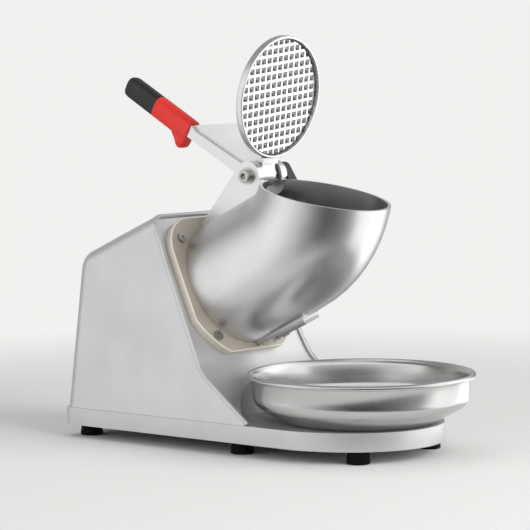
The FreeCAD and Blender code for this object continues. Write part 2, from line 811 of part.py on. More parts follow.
def ear_outline(radius):
    # tip on the flange side, tangent to the round end, and down into the drum's wall
    tip = Vec(ear_tip_from_flange, 0, drum_outer - 1.4)
    centre = Vec(drum_straight_length, 0, elbow_radius)
    reach = centre - tip
    angle = math.atan2(reach.z, reach.x) + math.asin(radius / reach.Length)
    touch = centre + Vec(-math.sin(angle), 0, math.cos(angle)) * radius
    low = drum_outer - 5
    return [(tip.x, tip.z), (touch.x, touch.z), (centre.x, centre.z), (centre.x, low), (tip.x, low)], centre


def make_ear(y0, y1, radius):
    outline, centre = ear_outline(radius)
    body = side_prism(outline, y0, y1)
    body = body.fuse(cylinder(centre.x, y0, centre.z, (0, 1, 0), 2 * radius, y1 - y0))
    # bridge from the round end down into the elbow's wall
    end_turn = math.radians(elbow_angle - 90 - 3)
    reach = elbow_radius - drum_outer + 5.5
    bridge = [(centre.x, centre.z), (centre.x, centre.z - reach)]
    bridge.append((centre.x + reach * math.cos(end_turn) / 2, centre.z - reach))
    bridge.append((centre.x + reach * math.cos(end_turn), centre.z + reach * math.sin(end_turn)))
    return body.fuse(side_prism(bridge, y0, y1))


def outlet_turned(shape):
    # the blade and the outlet sit to one side of the drum's lowest line
    shape.rotate(Vec(0, 0, 0), Vec(1, 0, 0), outlet_turn)
    return shape


def make_hopper():
    body = cylinder(0, 0, 0, (1, 0, 0), drum_outer_diameter, drum_straight_length)
    body = body.fuse(elbow_solid(drum_outer_diameter))
    for y0, y1 in ((-ear_outer_y, -ear_inner_y), (ear_inner_y, ear_outer_y)):
        body = body.fuse(make_ear(y0, y1, ear_round_radius))
    pad_half = drum_pad_width / 2
    pad_end = drum_pad_start + drum_pad_length
    pad = [(drum_pad_start, -drum_inner), (drum_pad_start, -drum_pad_depth), (pad_end, -drum_pad_depth),
           (pad_end + drum_pad_ramp, 0.5 - drum_outer), (pad_end + drum_pad_ramp, -drum_inner)]
    body = body.fuse(outlet_turned(side_prism(pad, -pad_half, pad_half)))
    inside = cylinder(drum_back_wall, 0, 0, (1, 0, 0), 2 * drum_inner, drum_straight_length - drum_back_wall)
    body = body.cut(inside.fuse(elbow_inner_solid()))
    # room for the neck between the ears
    slot = cylinder(drum_straight_length, -ear_inner_y, elbow_radius, (0, 1, 0), 2 * ear_room_radius, ear_gap)
    body = body.cut(slot)
    blade_slot = block(blade_slot_start, blade_slot_start + blade_slot_length, -blade_slot_low_side,
                       blade_slot_high_side, -drum_pad_depth - 1, -40)
    body = body.cut(outlet_turned(blade_slot))
    body = body.cut(cylinder(drum_straight_length, -drum_outer, elbow_radius, (0, 1, 0),
                             hinge_bolt_diameter + 2 * thread_clearance, drum_outer_diameter))
    body = body.cut(cylinder(-5, 0, 0, (1, 0, 0), seal_outer_diameter + 2 * thread_clearance, 15))
    for side in (-1, 1):
        hole = cylinder(holder_bolt_from_flange, side * holder_bolt_side, -drum_pad_depth - 1, (0, 0, 1),
                        holder_bolt_diameter + 2 * thread_clearance, holder_bolt_grip + 1.3)
        body = body.cut(outlet_turned(hole))
    body = body.cut(plunger_hole())
    for x, z in cover_screw_places():
        body = body.cut(cylinder(x, ear_outer_y - 6, z, (0, 1, 0),
                                 cover_screw_diameter + 2 * thread_clearance, 8))
    body = drum_frame(body.removeSplitter())
    for hole in drum_ring_holes(hopper_screw_circle, 0, hopper_screw_diameter + 2 * thread_clearance,
                                -1, drum_back_wall + 1):
        body = body.cut(hole)
    return body


# ---------------------------------------------------------------- blade, holder and chute

def blade_place(shape):
    # blade coordinates: the cutting edge lies along x at y = 0, z = 0, and the blade is under it
    shape.rotate(Vec(0, 0, 0), Vec(1, 0, 0), blade_tilt)
    shape.translate(Vec(0, -0.6, -drum_inner + blade_edge_inside))
    return shape


def blade_span():
    start = blade_slot_start + seat_clearance
    return start, start + blade_slot_length - 2 * seat_clearance


def blade_screw_places():
    s0, s1 = blade_span()
    return [s0 + blade_screw_inset, s1 - blade_screw_inset]


def make_blade():
    s0, s1 = blade_span()
    section = [Vec(s0, 0, 0), Vec(s0, -blade_width, 0), Vec(s0, -blade_width, -blade_thickness),
               Vec(s0, -3.2, -blade_thickness), Vec(s0, 0, 0)]
    blade = Part.Face(Part.makePolygon(section)).extrude(Vec(s1 - s0, 0, 0))
    hole = blade_screw_diameter + 2 * thread_clearance
    for s in blade_screw_places():
        blade = blade.cut(cylinder(s, -blade_width / 2 - 1, -5, (0, 0, 1), hole, 10))
    return drum_frame(outlet_turned(blade_place(blade)))


def make_blade_screws():
    screws = []
    for s in blade_screw_places():
        screw = cylinder(s, -blade_width / 2 - 1, -5.0, (0, 0, 1), blade_screw_diameter, 5.0)
        head = cylinder(s, -blade_width / 2 - 1, 0, (0, 0, 1), 1.8 * blade_screw_diameter, 1.2)
        screws.append(drum_frame(outlet_turned(blade_place(screw.fuse(head).removeSplitter()))))
    return Part.makeCompound(screws)


def make_blade_holder():
    half = drum_pad_width / 2 - 1
    top = -drum_pad_depth
    s0, s1 = drum_pad_start + 1, drum_pad_start + drum_pad_length - 1
    plate = block(s0, s1, -half, half, top - holder_thickness, top)
    plate = plate.cut(block(blade_slot_start, blade_slot_start + blade_slot_length, -shavings_slot_low_side,
                            blade_slot_high_side, top - holder_thickness - cut_margin, top + cut_margin))
    w0, w1 = blade_span()
    # block that stands up in the slot under the blade
    seat = block(w0, w1, -blade_slot_low_side + seat_clearance, -blade_seat_high_side, top - holder_thickness,
                 -drum_inner)
    over_blade = blade_place(block(w0 - cut_margin, w1 + cut_margin, -drum_pad_width, drum_pad_width,
                                   -blade_thickness, drum_inner))
    plate = plate.fuse(seat.cut(over_blade))
    hole = blade_screw_diameter + 2 * thread_clearance
    for s in blade_screw_places():
        plate = plate.cut(blade_place(cylinder(s, -blade_width / 2 - 1, -6, (0, 0, 1), hole, 10)))
    for side in (-1, 1):
        plate = plate.cut(cylinder(holder_bolt_from_flange, side * holder_bolt_side, top - 10, (0, 0, 1),
                                   holder_bolt_diameter + 2 * thread_clearance, 20))
    return drum_frame(outlet_turned(plate.removeSplitter()))


def make_holder_bolts():
    bolts = []
    seat = -drum_pad_depth - holder_thickness
    for side in (-1, 1):
        y = side * holder_bolt_side
        head = hex_prism(holder_bolt_from_flange, y, seat - holder_bolt_head, (0, 0, 1), holder_bolt_width,
                         holder_bolt_head)
        shank = cylinder(holder_bolt_from_flange, y, seat, (0, 0, 1), holder_bolt_diameter,
                         holder_thickness + holder_bolt_grip)
        bolts.append(drum_frame(outlet_turned(head.fuse(shank).removeSplitter())))
    return Part.makeCompound(bolts)


def make_outlet_chute():
    # three-sided sheet skirt under the holder, with a thin flange that lies against it
    seat = -drum_pad_depth - holder_thickness
    s0, s1 = chute_start, chute_start + chute_length
    half = chute_width / 2
    skirt = block(s0, s1, -half, half, seat - chute_drop, seat)
    room = block(s0 - 1, s1 - chute_sheet, -half + chute_sheet, half - chute_sheet,
                 seat - chute_drop - 1, seat - chute_sheet)
    skirt = skirt.cut(room)
    throat = block(blade_slot_start + 1, blade_slot_start + blade_slot_length, -blade_slot_low_side,
                   blade_slot_high_side, seat - chute_drop, seat + cut_margin)
    skirt = skirt.cut(throat)
    # the rear corners of both cheeks are cut back
    notch = side_prism([(s0 - 1, seat - chute_drop - 1), (s0 + 2 * chute_drop, seat - chute_drop - 1),
                        (s0 - 1, seat - 1)], -half - 1, half + 1)
    return drum_frame(outlet_turned(skirt.cut(notch).removeSplitter()))


# ---------------------------------------------------------------- motor

motor_front_s = housing_inner_s
can_front_s = motor_front_s - motor_cap_length
can_rear_s = can_front_s - motor_can_length
motor_rear_s = can_rear_s - motor_cap_length


def tube(s0, s1, outer, inner):
    return cylinder(s0, 0, 0, (1, 0, 0), outer, s1 - s0).cut(
        cylinder(s0 - 1, 0, 0, (1, 0, 0), inner, s1 - s0 + 2))


def motor_ears(s0, s1):
    radius = motor_bolt_circle / 2
    ears = []
    for side in (-1, 1):
        y_in = side * (motor_diameter / 2 - 4)
        y_out = side * radius
        ear = block(s0, s1, min(y_in, y_out), max(y_in, y_out), -5, 5)
        ears.append(ear.fuse(cylinder(s0, y_out, 0, (1, 0, 0), 10, s1 - s0)))
    return ears


def bolt_holes(shape, s0, s1):
    for side in (-1, 1):
        shape = shape.cut(cylinder(s0, side * motor_bolt_circle / 2, 0, (1, 0, 0),
                                   motor_bolt_diameter + 2 * thread_clearance, s1 - s0))
    return shape


def make_motor_front_cap():
    cap = cylinder(can_front_s, 0, 0, (1, 0, 0), motor_diameter, motor_cap_length)
    cap = cap.fuse(cylinder(motor_front_s - 1, 0, 0, (1, 0, 0), cap_spigot_diameter, -motor_front_s + 1))
    for ear in motor_ears(can_front_s, motor_front_s):
        cap = cap.fuse(ear)
    cap = cap.cut(cylinder(can_front_s - 1, 0, 0, (1, 0, 0), bearing_outer_diameter + 2 * thread_clearance,
                           bearing_width + 1))
    cap = cap.cut(cylinder(can_front_s - 1, 0, 0, (1, 0, 0), shaft_diameter + 2, 40))
    cap = bolt_holes(cap, can_front_s - 1, motor_front_s - 2)
    for y, u in ring_places(hopper_screw_circle, 0):
        cap = cap.cut(cylinder(motor_front_s - hopper_screw_grip - 1.5 * cut_margin, y, u, (1, 0, 0),
                               hopper_screw_diameter + 2 * thread_clearance,
                               hopper_screw_grip + 2.5 * cut_margin))
    return drum_frame(cap.removeSplitter())


def make_motor_rear_cap():
    cap = cylinder(motor_rear_s, 0, 0, (1, 0, 0), motor_diameter, motor_cap_length)
    for ear in motor_ears(motor_rear_s, can_rear_s):
        cap = cap.fuse(ear)
    cap = cap.cut(cylinder(can_rear_s - bearing_width, 0, 0, (1, 0, 0),
                           bearing_outer_diameter + 2 * thread_clearance, 20))
    cap = cap.cut(cylinder(motor_rear_s - 1, 0, 0, (1, 0, 0), shaft_diameter + 2, 30))
    return drum_frame(bolt_holes(cap, motor_rear_s - 1, can_rear_s + 1).removeSplitter())


def make_motor_can():
    return drum_frame(tube(can_rear_s, can_front_s, motor_diameter, motor_diameter - 2 * motor_can_wall))


def make_motor_stator():
    front = can_front_s - stator_from_front
    outer = motor_diameter - 2 * motor_can_wall - 2 * thread_clearance
    return drum_frame(tube(front - stator_length, front, outer, stator_bore))


def make_motor_bolts():
    bolts = []
    length = motor_front_s - 3 - motor_rear_s
    for side in (-1, 1):
        bolts.append(drum_frame(pan_screw(motor_rear_s, side * motor_bolt_circle / 2, 0, (-1, 0, 0),
                                          motor_bolt_diameter, length)))
    return Part.makeCompound(bolts)


def make_bearing(s0):
    ring = tube(s0, s0 + bearing_width, bearing_outer_diameter, shaft_diameter + 2 * running_clearance)
    for s in (s0, s0 + bearing_width):
        ring = ring.cut(tube(s - 1, s + 1, bearing_outer_diameter - 6, shaft_diameter + 6))
    return drum_frame(ring)


def make_shaft_seal():
    return drum_frame(tube(0, drum_back_wall, seal_outer_diameter, shaft_diameter + 2 * running_clearance))


impeller_s = drum_back_wall + impeller_from_back_wall
impeller_hub_end_s = impeller_s + impeller_plate + 12.0


def make_motor_shaft():
    end = impeller_hub_end_s + impeller_nut_height - 2
    start = motor_rear_s + 1
    return drum_frame(cylinder(start, 0, 0, (1, 0, 0), shaft_diameter, end - start))


def make_rotor_core():
    front = can_front_s - stator_from_front
    core = tube(front - stator_length, front, stator_bore - 2 * air_gap,
                shaft_diameter + 2 * thread_clearance)
    slots = []
    for i in range(12):
        slot = block(front - stator_length - 1, front + 1, -1.2, 1.2, stator_bore / 2 - 7, stator_bore / 2)
        slot.rotate(Vec(0, 0, 0), Vec(1, 0, 0), 30 * i)
        slots.append(slot)
    return drum_frame(core.cut(Part.makeCompound(slots)))


def make_cooling_fan():
    start = can_rear_s + 2
    fan = tube(start, start + 1.5, fan_diameter, shaft_diameter + 2 * thread_clearance)
    fan = fan.fuse(tube(start, start + fan_width, 22, shaft_diameter + 2 * thread_clearance))
    for i in range(8):
        vane = block(start + 1, start + fan_width, -0.8, 0.8, 10.5, fan_diameter / 2 - 0.5)
        vane.rotate(Vec(0, 0, 0), Vec(1, 0, 0), 45 * i)
        fan = fan.fuse(vane)
    return drum_frame(fan.removeSplitter())


def make_impeller():
    radius = drum_inner - impeller_gap
    bore = shaft_diameter + 2 * thread_clearance
    wheel = tube(impeller_s, impeller_s + impeller_plate, 2 * radius, bore)
    wheel = wheel.fuse(tube(impeller_s, impeller_hub_end_s, impeller_hub_diameter, bore))
    front_s = impeller_s + impeller_plate + paddle_length
    half = paddle_thickness / 2
    for i in range(paddle_count):
        # each paddle is low at the hub and tall at the drum's wall
        hub = impeller_hub_diameter / 2 - 1
        outline = [(impeller_s + 1, hub), (impeller_hub_end_s, hub), (front_s, radius - 14),
                   (front_s, radius - 1), (impeller_s + 1, radius - 1)]
        paddle = side_prism(outline, -half, half)
        paddle.rotate(Vec(0, 0, 0), Vec(1, 0, 0), 360 / paddle_count * i + 30)
        wheel = wheel.fuse(paddle)
    return drum_frame(wheel.removeSplitter())


def make_impeller_nut():
    nut = hex_prism(impeller_hub_end_s, 0, 0, (1, 0, 0), impeller_nut_width, impeller_nut_height)
    dome = Part.makeSphere(impeller_nut_width / 2 * 1.3, Vec(impeller_hub_end_s, 0, 0))
    nut = nut.common(dome)
    bore = cylinder(impeller_hub_end_s - 1, 0, 0, (1, 0, 0), shaft_diameter + 2 * thread_clearance,
                    impeller_nut_height - 1)
    return drum_frame(nut.cut(bore))


# ---------------------------------------------------------------- hinge

def make_hinge_bolt():
    head_seat = -ear_outer_y - hinge_washer_thickness
    length = 2 * ear_outer_y + hinge_washer_thickness + hinge_nut_height + 1.0
    head = cylinder(pivot_x, head_seat - hinge_head_height, pivot_z, (0, 1, 0), hinge_head_diameter,
                    hinge_head_height)
    head = head.makeFillet(0.8, [edge for edge in head.Edges if edge.BoundBox.YMax < head_seat - 1])
    socket = hex_prism(pivot_x, head_seat - hinge_head_height - 1, pivot_z, (0, 1, 0), 6, 4.5)
    shank = cylinder(pivot_x, head_seat, pivot_z, (0, 1, 0), hinge_bolt_diameter, length)
    return head.cut(socket).fuse(shank).removeSplitter()


def make_hinge_washer():
    y = -ear_outer_y - hinge_washer_thickness
    ring = cylinder(pivot_x, y, pivot_z, (0, 1, 0), hinge_washer_diameter, hinge_washer_thickness)
    bore = cylinder(pivot_x, y - 1, pivot_z, (0, 1, 0), hinge_bolt_diameter + 2 * thread_clearance, 10)
    return ring.cut(bore)


def make_hinge_nut():
    nut = hex_prism(pivot_x, ear_outer_y, pivot_z, (0, 1, 0), hinge_nut_width, hinge_nut_height)
    bore = cylinder(pivot_x, ear_outer_y - 1, pivot_z, (0, 1, 0),
                    hinge_bolt_diameter + 2 * thread_clearance, 20)
    return nut.cut(bore)


# ---------------------------------------------------------------- safety switch

def cover_hull(wall, y0, y1):
    # outline about the pivot, in drum coordinates; its low side is cut to the drum later
    corners = [(switch_cover_ahead, -switch_cover_low), (switch_cover_ahead - 4.0, switch_cover_front_rise),
               (-8.0, switch_cover_rise), (-switch_cover_behind, switch_cover_tail_rise),
               (-switch_cover_behind, -switch_cover_low)]
    radii = [0, switch_cover_corner_radius, switch_cover_corner_radius, switch_cover_corner_radius / 2, 0]
    face = rounded_outline(corners, radii,
                           lambda x, z: Vec(drum_straight_length + x, y0, elbow_radius + z))
    if wall > 0:
        face = face.makeOffset2D(-wall)
    return face.extrude(Vec(0, y1 - y0, 0))


def cover_screw_places():
    return [(drum_straight_length - cover_screw_far_behind, elbow_radius - cover_screw_far_drop),
            (drum_straight_length - cover_screw_near_behind, elbow_radius - cover_screw_near_drop)]


def make_switch_cover():
    y0 = ear_outer_y
    y1 = y0 + switch_cover_depth
    cover = cover_hull(0, y0, y1).removeSplitter()
    cover = cover.makeFillet(3.0, [edge for edge in cover.Edges if edge.BoundBox.YMin > y1 - 0.01])
    room = cover_hull(switch_cover_wall, y0 - 1, y1 - switch_cover_wall)
    cover = cover.cut(room)
    drum = cylinder(-5, 0, 0, (1, 0, 0), drum_outer_diameter + 2 * seat_clearance, drum_straight_length + 5)
    cover = cover.cut(drum.fuse(elbow_solid(drum_outer_diameter + 2 * seat_clearance)))
    for x, z in cover_screw_places():
        post = cylinder(x, y0, z, (0, 1, 0), cover_screw_diameter + 2 * boss_wall - 1, switch_cover_depth - 1)
        cover = cover.fuse(post)
        cover = cover.cut(cylinder(x, y0 - 1, z, (0, 1, 0), cover_screw_diameter + 2 * thread_clearance, 20))
    return drum_frame(cover.removeSplitter())


def make_cover_screws():
    screws = []
    for x, z in cover_screw_places():
        screws.append(drum_frame(pan_screw(x, ear_outer_y + switch_cover_depth, z, (0, 1, 0),
                                           cover_screw_diameter, switch_cover_depth + 5)))
    return Part.makeCompound(screws)


def plunger_place():
    # below and ahead of the bolt, over the end of the barrel
    return drum_straight_length + plunger_offset * 0.5, elbow_radius - plunger_offset * 0.866


def plunger_hole():
    x, z = plunger_place()
    return cylinder(x, ear_inner_y - 1, z, (0, 1, 0), plunger_diameter + 2 * running_clearance,
                    ear_thickness + 2)


def make_switch_plunger():
    x, z = plunger_place()
    start = ear_inner_y - plunger_tip_gap
    end = ear_outer_y + plunger_stand_out
    plunger = cylinder(x, start, z, (0, 1, 0), plunger_diameter, end - start)
    tip = [edge for edge in plunger.Edges if edge.BoundBox.YMax < start + 0.1]
    return drum_frame(plunger.makeFillet(1.0, tip))


def make_safety_switch():
    # stands on the ear, with room behind the plunger for its travel
    x, z = plunger_place()
    y0 = ear_outer_y + plunger_stand_out + plunger_travel + seat_clearance
    x0 = x - switch_body_behind_plunger
    z1 = z + switch_body_above_plunger
    body = block(x0, x0 + switch_body_width, y0, y0 + switch_body_depth, z1 - switch_body_length, z1)
    foot = block(x + 3.0, x0 + switch_body_width, ear_outer_y, y0 + 1, z1 - switch_body_length, z1)
    return drum_frame(body.fuse(foot).removeSplitter())


# ---------------------------------------------------------------- lever

def arm_prism(outline, y_half):
    # outline in arm coordinates: along the lever from the pivot, and up from its middle line
    flipped = [(along, -up) for along, up in outline]
    return arm_frame(side_prism(flipped, -y_half, y_half))


def disc_prism(outline, y0, y1):
    # outline in disc coordinates: along the disc from the pivot, and ahead of the pivot
    flipped = [(along, -ahead) for along, ahead in outline]
    return disc_frame(side_prism(flipped, y0, y1))


def web_outline():
    # corner points of the gusset in the machine's own x and z, about the pivot
    arm = math.radians(lever_open_angle)
    disc = math.radians(disc_open_angle)

    def on_arm(along, up):
        return (along * math.cos(arm) + up * math.sin(arm), along * math.sin(arm) - up * math.cos(arm))

    def on_disc(along, ahead):
        return (along * math.cos(disc) + ahead * math.sin(disc),
                along * math.sin(disc) - ahead * math.cos(disc))

    shoulder = on_arm(arm_shoulder, arm_high)
    top_along = (shoulder[1] + disc_back * math.cos(disc)) / math.sin(disc)
    top = on_disc(top_along, disc_back)
    middle = ((shoulder[0] + top[0]) / 2, (shoulder[1] + top[1]) / 2 + web_rise)
    return shoulder, middle, top, on_disc(6, disc_back - 3), on_arm(10, 0), on_arm(arm_shoulder, -arm_low / 2)


def make_cam(y0):
    # raised arc on the barrel's end that comes over the switch plunger as the lever goes down
    ring = cylinder(pivot_x, y0, pivot_z, (0, 1, 0), 2 * barrel_radius - 1.6, cam_height)
    ring = ring.cut(cylinder(pivot_x, y0 - 1, pivot_z, (0, 1, 0), 2 * barrel_radius - 8, cam_height + 2))
    keep = block(4.0, 30, y0 - 1, y0 + cam_height + 1, -30, 30)
    keep.rotate(Vec(0, 0, 0), Vec(0, 1, 0), -cam_angle)
    keep.translate(Vec(pivot_x, 0, pivot_z))
    return ring.common(keep)


def make_lever_casting():
    shoulder, middle, top, root, heel, low = web_outline()
    half = web_thickness / 2

    def point(place):
        return Vec(pivot_x + place[0], -half, pivot_z + place[1])

    edges = [Part.Arc(point(shoulder), point(middle), point(top)).toShape()]
    for start, end in ((top, root), (root, heel), (heel, low), (low, shoulder)):
        edges.append(Part.LineSegment(point(start), point(end)).toShape())
    web = Part.Face(Part.Wire(edges)).extrude(Vec(0, web_thickness, 0))
    barrel_start = -ear_inner_y + side_clearance
    barrel_end = ear_inner_y - barrel_far_gap
    barrel = cylinder(pivot_x, barrel_start, pivot_z, (0, 1, 0), 2 * barrel_radius, barrel_end - barrel_start)
    strip = arm_prism([(0, -arm_low + 1), (arm_shoulder, -arm_low), (arm_shoulder, -arm_low + 9),
                       (0, -arm_low + 13)], arm_width / 2)
    mouth = arm_prism([(arm_shoulder - 12, -arm_low), (arm_shoulder, -arm_low), (arm_shoulder, arm_high),
                       (arm_shoulder - 6, arm_high - 2), (arm_shoulder - 12, -arm_low + 9)], arm_width / 2)
    core_length = grip_red_length + grip_black_length - 12
    core = arm_prism([(arm_shoulder - 4, -arm_core_low), (arm_shoulder + core_length, -arm_core_low),
                      (arm_shoulder + core_length, arm_core_high), (arm_shoulder - 4, arm_core_high)],
                     arm_core_width / 2)
    neck_low = disc_centre_from_pivot - disc_diameter / 2
    neck_half = neck_width / 2
    neck = disc_prism([(1, 3), (7, barrel_radius - 2), (neck_low + 2, disc_back),
                       (neck_low + 2, disc_back - 5), (3, -2)], -neck_half, barrel_end)
    front = disc_face_ahead_of_pivot - neck_behind_face
    pad = disc_prism([(barrel_radius + 1.5, front), (neck_low - 0.3, front),
                      (neck_low - 0.3, disc_back), (neck_low + neck_pad_length, disc_back),
                      (neck_low + neck_pad_length, disc_back - neck_pad_thickness),
                      (barrel_radius + 1.5, disc_back - neck_pad_thickness)], -neck_half, neck_half)
    ledge = disc_prism([(3, disc_back - 2), (6, front - 1), (neck_low - 0.3, front),
                        (neck_low - 0.3, disc_back - 2)], -neck_half, barrel_end)
    casting = barrel
    for piece in (web, strip, mouth, core, neck, pad, ledge, make_cam(barrel_end)):
        casting = casting.fuse(piece)
    disc_room = cylinder(disc_centre_from_pivot, 0, -disc_face_ahead_of_pivot, (0, 0, 1), disc_diameter + 0.6,
                         disc_thickness)
    casting = casting.cut(disc_frame(disc_room))
    casting = casting.cut(cylinder(pivot_x, -ear_gap, pivot_z, (0, 1, 0),
                                   hinge_bolt_diameter + 2 * running_clearance, 2 * ear_gap))
    for side in (-1, 1):
        x, z = disc_screw_place()
        hole = cylinder(x, side * disc_screw_spacing / 2, z - 2, (0, 0, 1),
                        disc_screw_diameter + 2 * thread_clearance, 40)
        casting = casting.cut(disc_frame(hole))
    return casting


def disc_screw_place():
    # along the disc from the pivot, and the height of the neck pad's back
    neck_low = disc_centre_from_pivot - disc_diameter / 2
    return neck_low + neck_pad_length - 8.0, -disc_back


def make_disc_screws():
    x, z = disc_screw_place()
    screws = []
    for side in (-1, 1):
        screw = pan_screw(x, side * disc_screw_spacing / 2, z + neck_pad_thickness, (0, 0, 1),
                          disc_screw_diameter, neck_pad_thickness + disc_plate - 0.6)
        screws.append(disc_frame(screw))
    return Part.makeCompound(screws)


def make_press_disc():
    disc = cylinder(disc_centre_from_pivot, 0, -disc_face_ahead_of_pivot, (0, 0, 1), disc_diameter,
                    disc_thickness)
    rim = [edge for edge in disc.Edges if edge.BoundBox.ZLength < 0.01]
    disc = disc.makeFillet(1.0, rim)
    pocket_depth = disc_thickness - disc_plate
    pocket = waffle_pitch - waffle_rib
    field = disc_diameter / 2 - disc_rim_width
    face = -disc_face_ahead_of_pivot
    disc = disc.cut(cylinder(disc_centre_from_pivot, 0, face - 1, (0, 0, 1), 2 * field, waffle_recess + 1))
    channel = cylinder(disc_centre_from_pivot, 0, face, (0, 0, 1), 2 * field, pocket_depth)
    disc = disc.cut(channel.cut(cylinder(disc_centre_from_pivot, 0, face - 1, (0, 0, 1),
                                         2 * (field - waffle_channel), disc_thickness + 1)))
    cells = int(field / waffle_pitch) + 1
    pockets = []
    for i in range(-cells, cells + 1):
        for j in range(-cells, cells + 1):
            x = (i + 0.5) * waffle_pitch
            y = j * waffle_pitch
            if math.hypot(abs(x) + pocket / 2, abs(y) + pocket / 2) > field - waffle_channel:
                continue
            pockets.append(block(x - pocket / 2, x + pocket / 2, y - pocket / 2, y + pocket / 2,
                                 face - 1, face + pocket_depth))
    grid = Part.makeCompound(pockets)
    grid.rotate(Vec(0, 0, 0), Vec(0, 0, 1), -waffle_turn)
    grid.translate(Vec(disc_centre_from_pivot, 0, 0))
    disc = disc.cut(grid)
    x, z = disc_screw_place()
    for side in (-1, 1):
        hole = cylinder(x, side * disc_screw_spacing / 2, z - disc_plate + 0.4, (0, 0, 1),
                        disc_screw_diameter + 2 * thread_clearance, 10)
        disc = disc.cut(hole)
    return disc_frame(disc)


def grip_bar(start, end):
    bar = block(start, end, -grip_width / 2, grip_width / 2, -grip_high, grip_low)
    long_edges = [edge for edge in bar.Edges if edge.BoundBox.XLength > 1]
    return bar.makeFillet(grip_round, long_edges)


def core_room():
    end = arm_shoulder + grip_red_length + grip_black_length - 12 + thread_clearance
    return block(arm_shoulder - 10, end,
                 -arm_core_width / 2 - thread_clearance, arm_core_width / 2 + thread_clearance,
                 -arm_core_high - thread_clearance, arm_core_low + thread_clearance)


def make_grip_sleeve():
    start = arm_shoulder + thread_clearance
    end = arm_shoulder + grip_red_length
    bar = grip_bar(start, end)
    guard = side_prism([(start, grip_low - 8), (start, grip_low), (start + 2, grip_low + guard_drop - 2),
                        (start + 6, grip_low + guard_drop), (start + guard_length, grip_low),
                        (start + guard_length, grip_low - 8)],
                       -grip_width / 2 + 3, grip_width / 2 - 3)
    return arm_frame(bar.fuse(guard).cut(core_room()).removeSplitter())


def make_grip_end():
    start = arm_shoulder + grip_red_length + thread_clearance
    bar = grip_bar(start, start + grip_black_length)
    tip = [edge for edge in bar.Edges if edge.BoundBox.XMin > start + grip_black_length - 0.01]
    bar = bar.makeFillet(3.0, tip)
    return arm_frame(bar.cut(core_room()))


# ---------------------------------------------------------------- bowl

def make_bowl():
    # upright wall with a beaded rim, a tight corner, and a sloped underside that runs into the flat bottom
    z0 = base_top_z
    wall = bowl_wall_radius
    top = wall + bowl_wall_flare
    bead = bowl_rim_bead_diameter / 2
    rim_z = z0 + bowl_depth - bead
    rim_x = bowl_rim_diameter / 2 - bead
    slope = math.radians(bowl_under_slope)
    half_turn = (math.pi / 2 - slope) / 2
    centre_x = wall - bowl_corner_radius
    centre_z = z0 + bowl_corner_height

    def point(x, z):
        return Vec(x, 0, z)

    def on_corner(radius, angle):
        return point(centre_x + radius * math.cos(angle), centre_z - radius * math.sin(angle))

    def foot(radius, floor_z):
        end = on_corner(radius, 2 * half_turn)
        return point(end.x - (end.z - floor_z) / math.tan(slope), floor_z)

    outer = bowl_corner_radius
    inner = bowl_corner_radius - bowl_sheet
    inner_foot = foot(inner, z0 + bowl_sheet)
    edges = [
        Part.LineSegment(point(0, z0), foot(outer, z0)).toShape(),
        Part.LineSegment(foot(outer, z0), on_corner(outer, 2 * half_turn)).toShape(),
        Part.Arc(on_corner(outer, 2 * half_turn), on_corner(outer, half_turn), on_corner(outer, 0)).toShape(),
        Part.LineSegment(on_corner(outer, 0), point(top, rim_z - bead)).toShape(),
        Part.LineSegment(point(top, rim_z - bead), point(rim_x, rim_z - bead)).toShape(),
        Part.Arc(point(rim_x, rim_z - bead), point(rim_x + bead, rim_z),
                 point(rim_x, rim_z + bead)).toShape(),
        Part.LineSegment(point(rim_x, rim_z + bead), point(top - bowl_sheet, rim_z - bead)).toShape(),
        Part.LineSegment(point(top - bowl_sheet, rim_z - bead), on_corner(inner, 0)).toShape(),
        Part.Arc(on_corner(inner, 0), on_corner(inner, half_turn), on_corner(inner, 2 * half_turn)).toShape(),
        Part.LineSegment(on_corner(inner, 2 * half_turn), inner_foot).toShape(),
        Part.LineSegment(inner_foot, point(0, z0 + bowl_sheet)).toShape(),
        Part.LineSegment(point(0, z0 + bowl_sheet), point(0, z0)).toShape(),
    ]
    bowl = Part.Face(Part.Wire(edges)).revolve(Vec(0, 0, 0), Vec(0, 0, 1), 360)
    bowl.translate(Vec(bowl_x, 0, 0))
    return bowl


nodes = {
    "base_shell": make_base_shell,
    "bottom_plate": make_bottom_plate,
    "rubber_feet": make_feet,
    "foot_screws": make_foot_screws,
    "motor_housing": make_motor_housing,
    "housing_screws": make_housing_screws,
    "cable_gland": make_cable_gland,
    "rocker_bezel": make_rocker_bezel,
    "power_rocker": make_power_rocker,
    "flange_plate": make_flange_plate,
    "flange_screws": make_flange_screws,
    "hopper": make_hopper,
    "hopper_screws": make_hopper_screws,
    "blade": make_blade,
    "blade_screws": make_blade_screws,
    "blade_holder": make_blade_holder,
    "holder_bolts": make_holder_bolts,
    "outlet_chute": make_outlet_chute,
    "motor_front_cap": make_motor_front_cap,
    "motor_rear_cap": make_motor_rear_cap,
    "motor_can": make_motor_can,
    "motor_stator": make_motor_stator,
    "motor_bolts": make_motor_bolts,
    "front_bearing": lambda: make_bearing(can_front_s),
    "rear_bearing": lambda: make_bearing(can_rear_s - bearing_width),
    "shaft_seal": make_shaft_seal,
    "motor_shaft": make_motor_shaft,
    "rotor_core": make_rotor_core,
    "cooling_fan": make_cooling_fan,
    "impeller": make_impeller,
    "impeller_nut": make_impeller_nut,
    "hinge_bolt": make_hinge_bolt,
    "hinge_washer": make_hinge_washer,
    "hinge_nut": make_hinge_nut,
    "switch_cover": make_switch_cover,
    "switch_cover_screws": make_cover_screws,
    "switch_plunger": make_switch_plunger,
    "safety_switch": make_safety_switch,
    "lever_casting": make_lever_casting,
    "press_disc": make_press_disc,
    "disc_screws": make_disc_screws,
    "grip_sleeve": make_grip_sleeve,
    "grip_end": make_grip_end,
    "bowl": make_bowl,
}

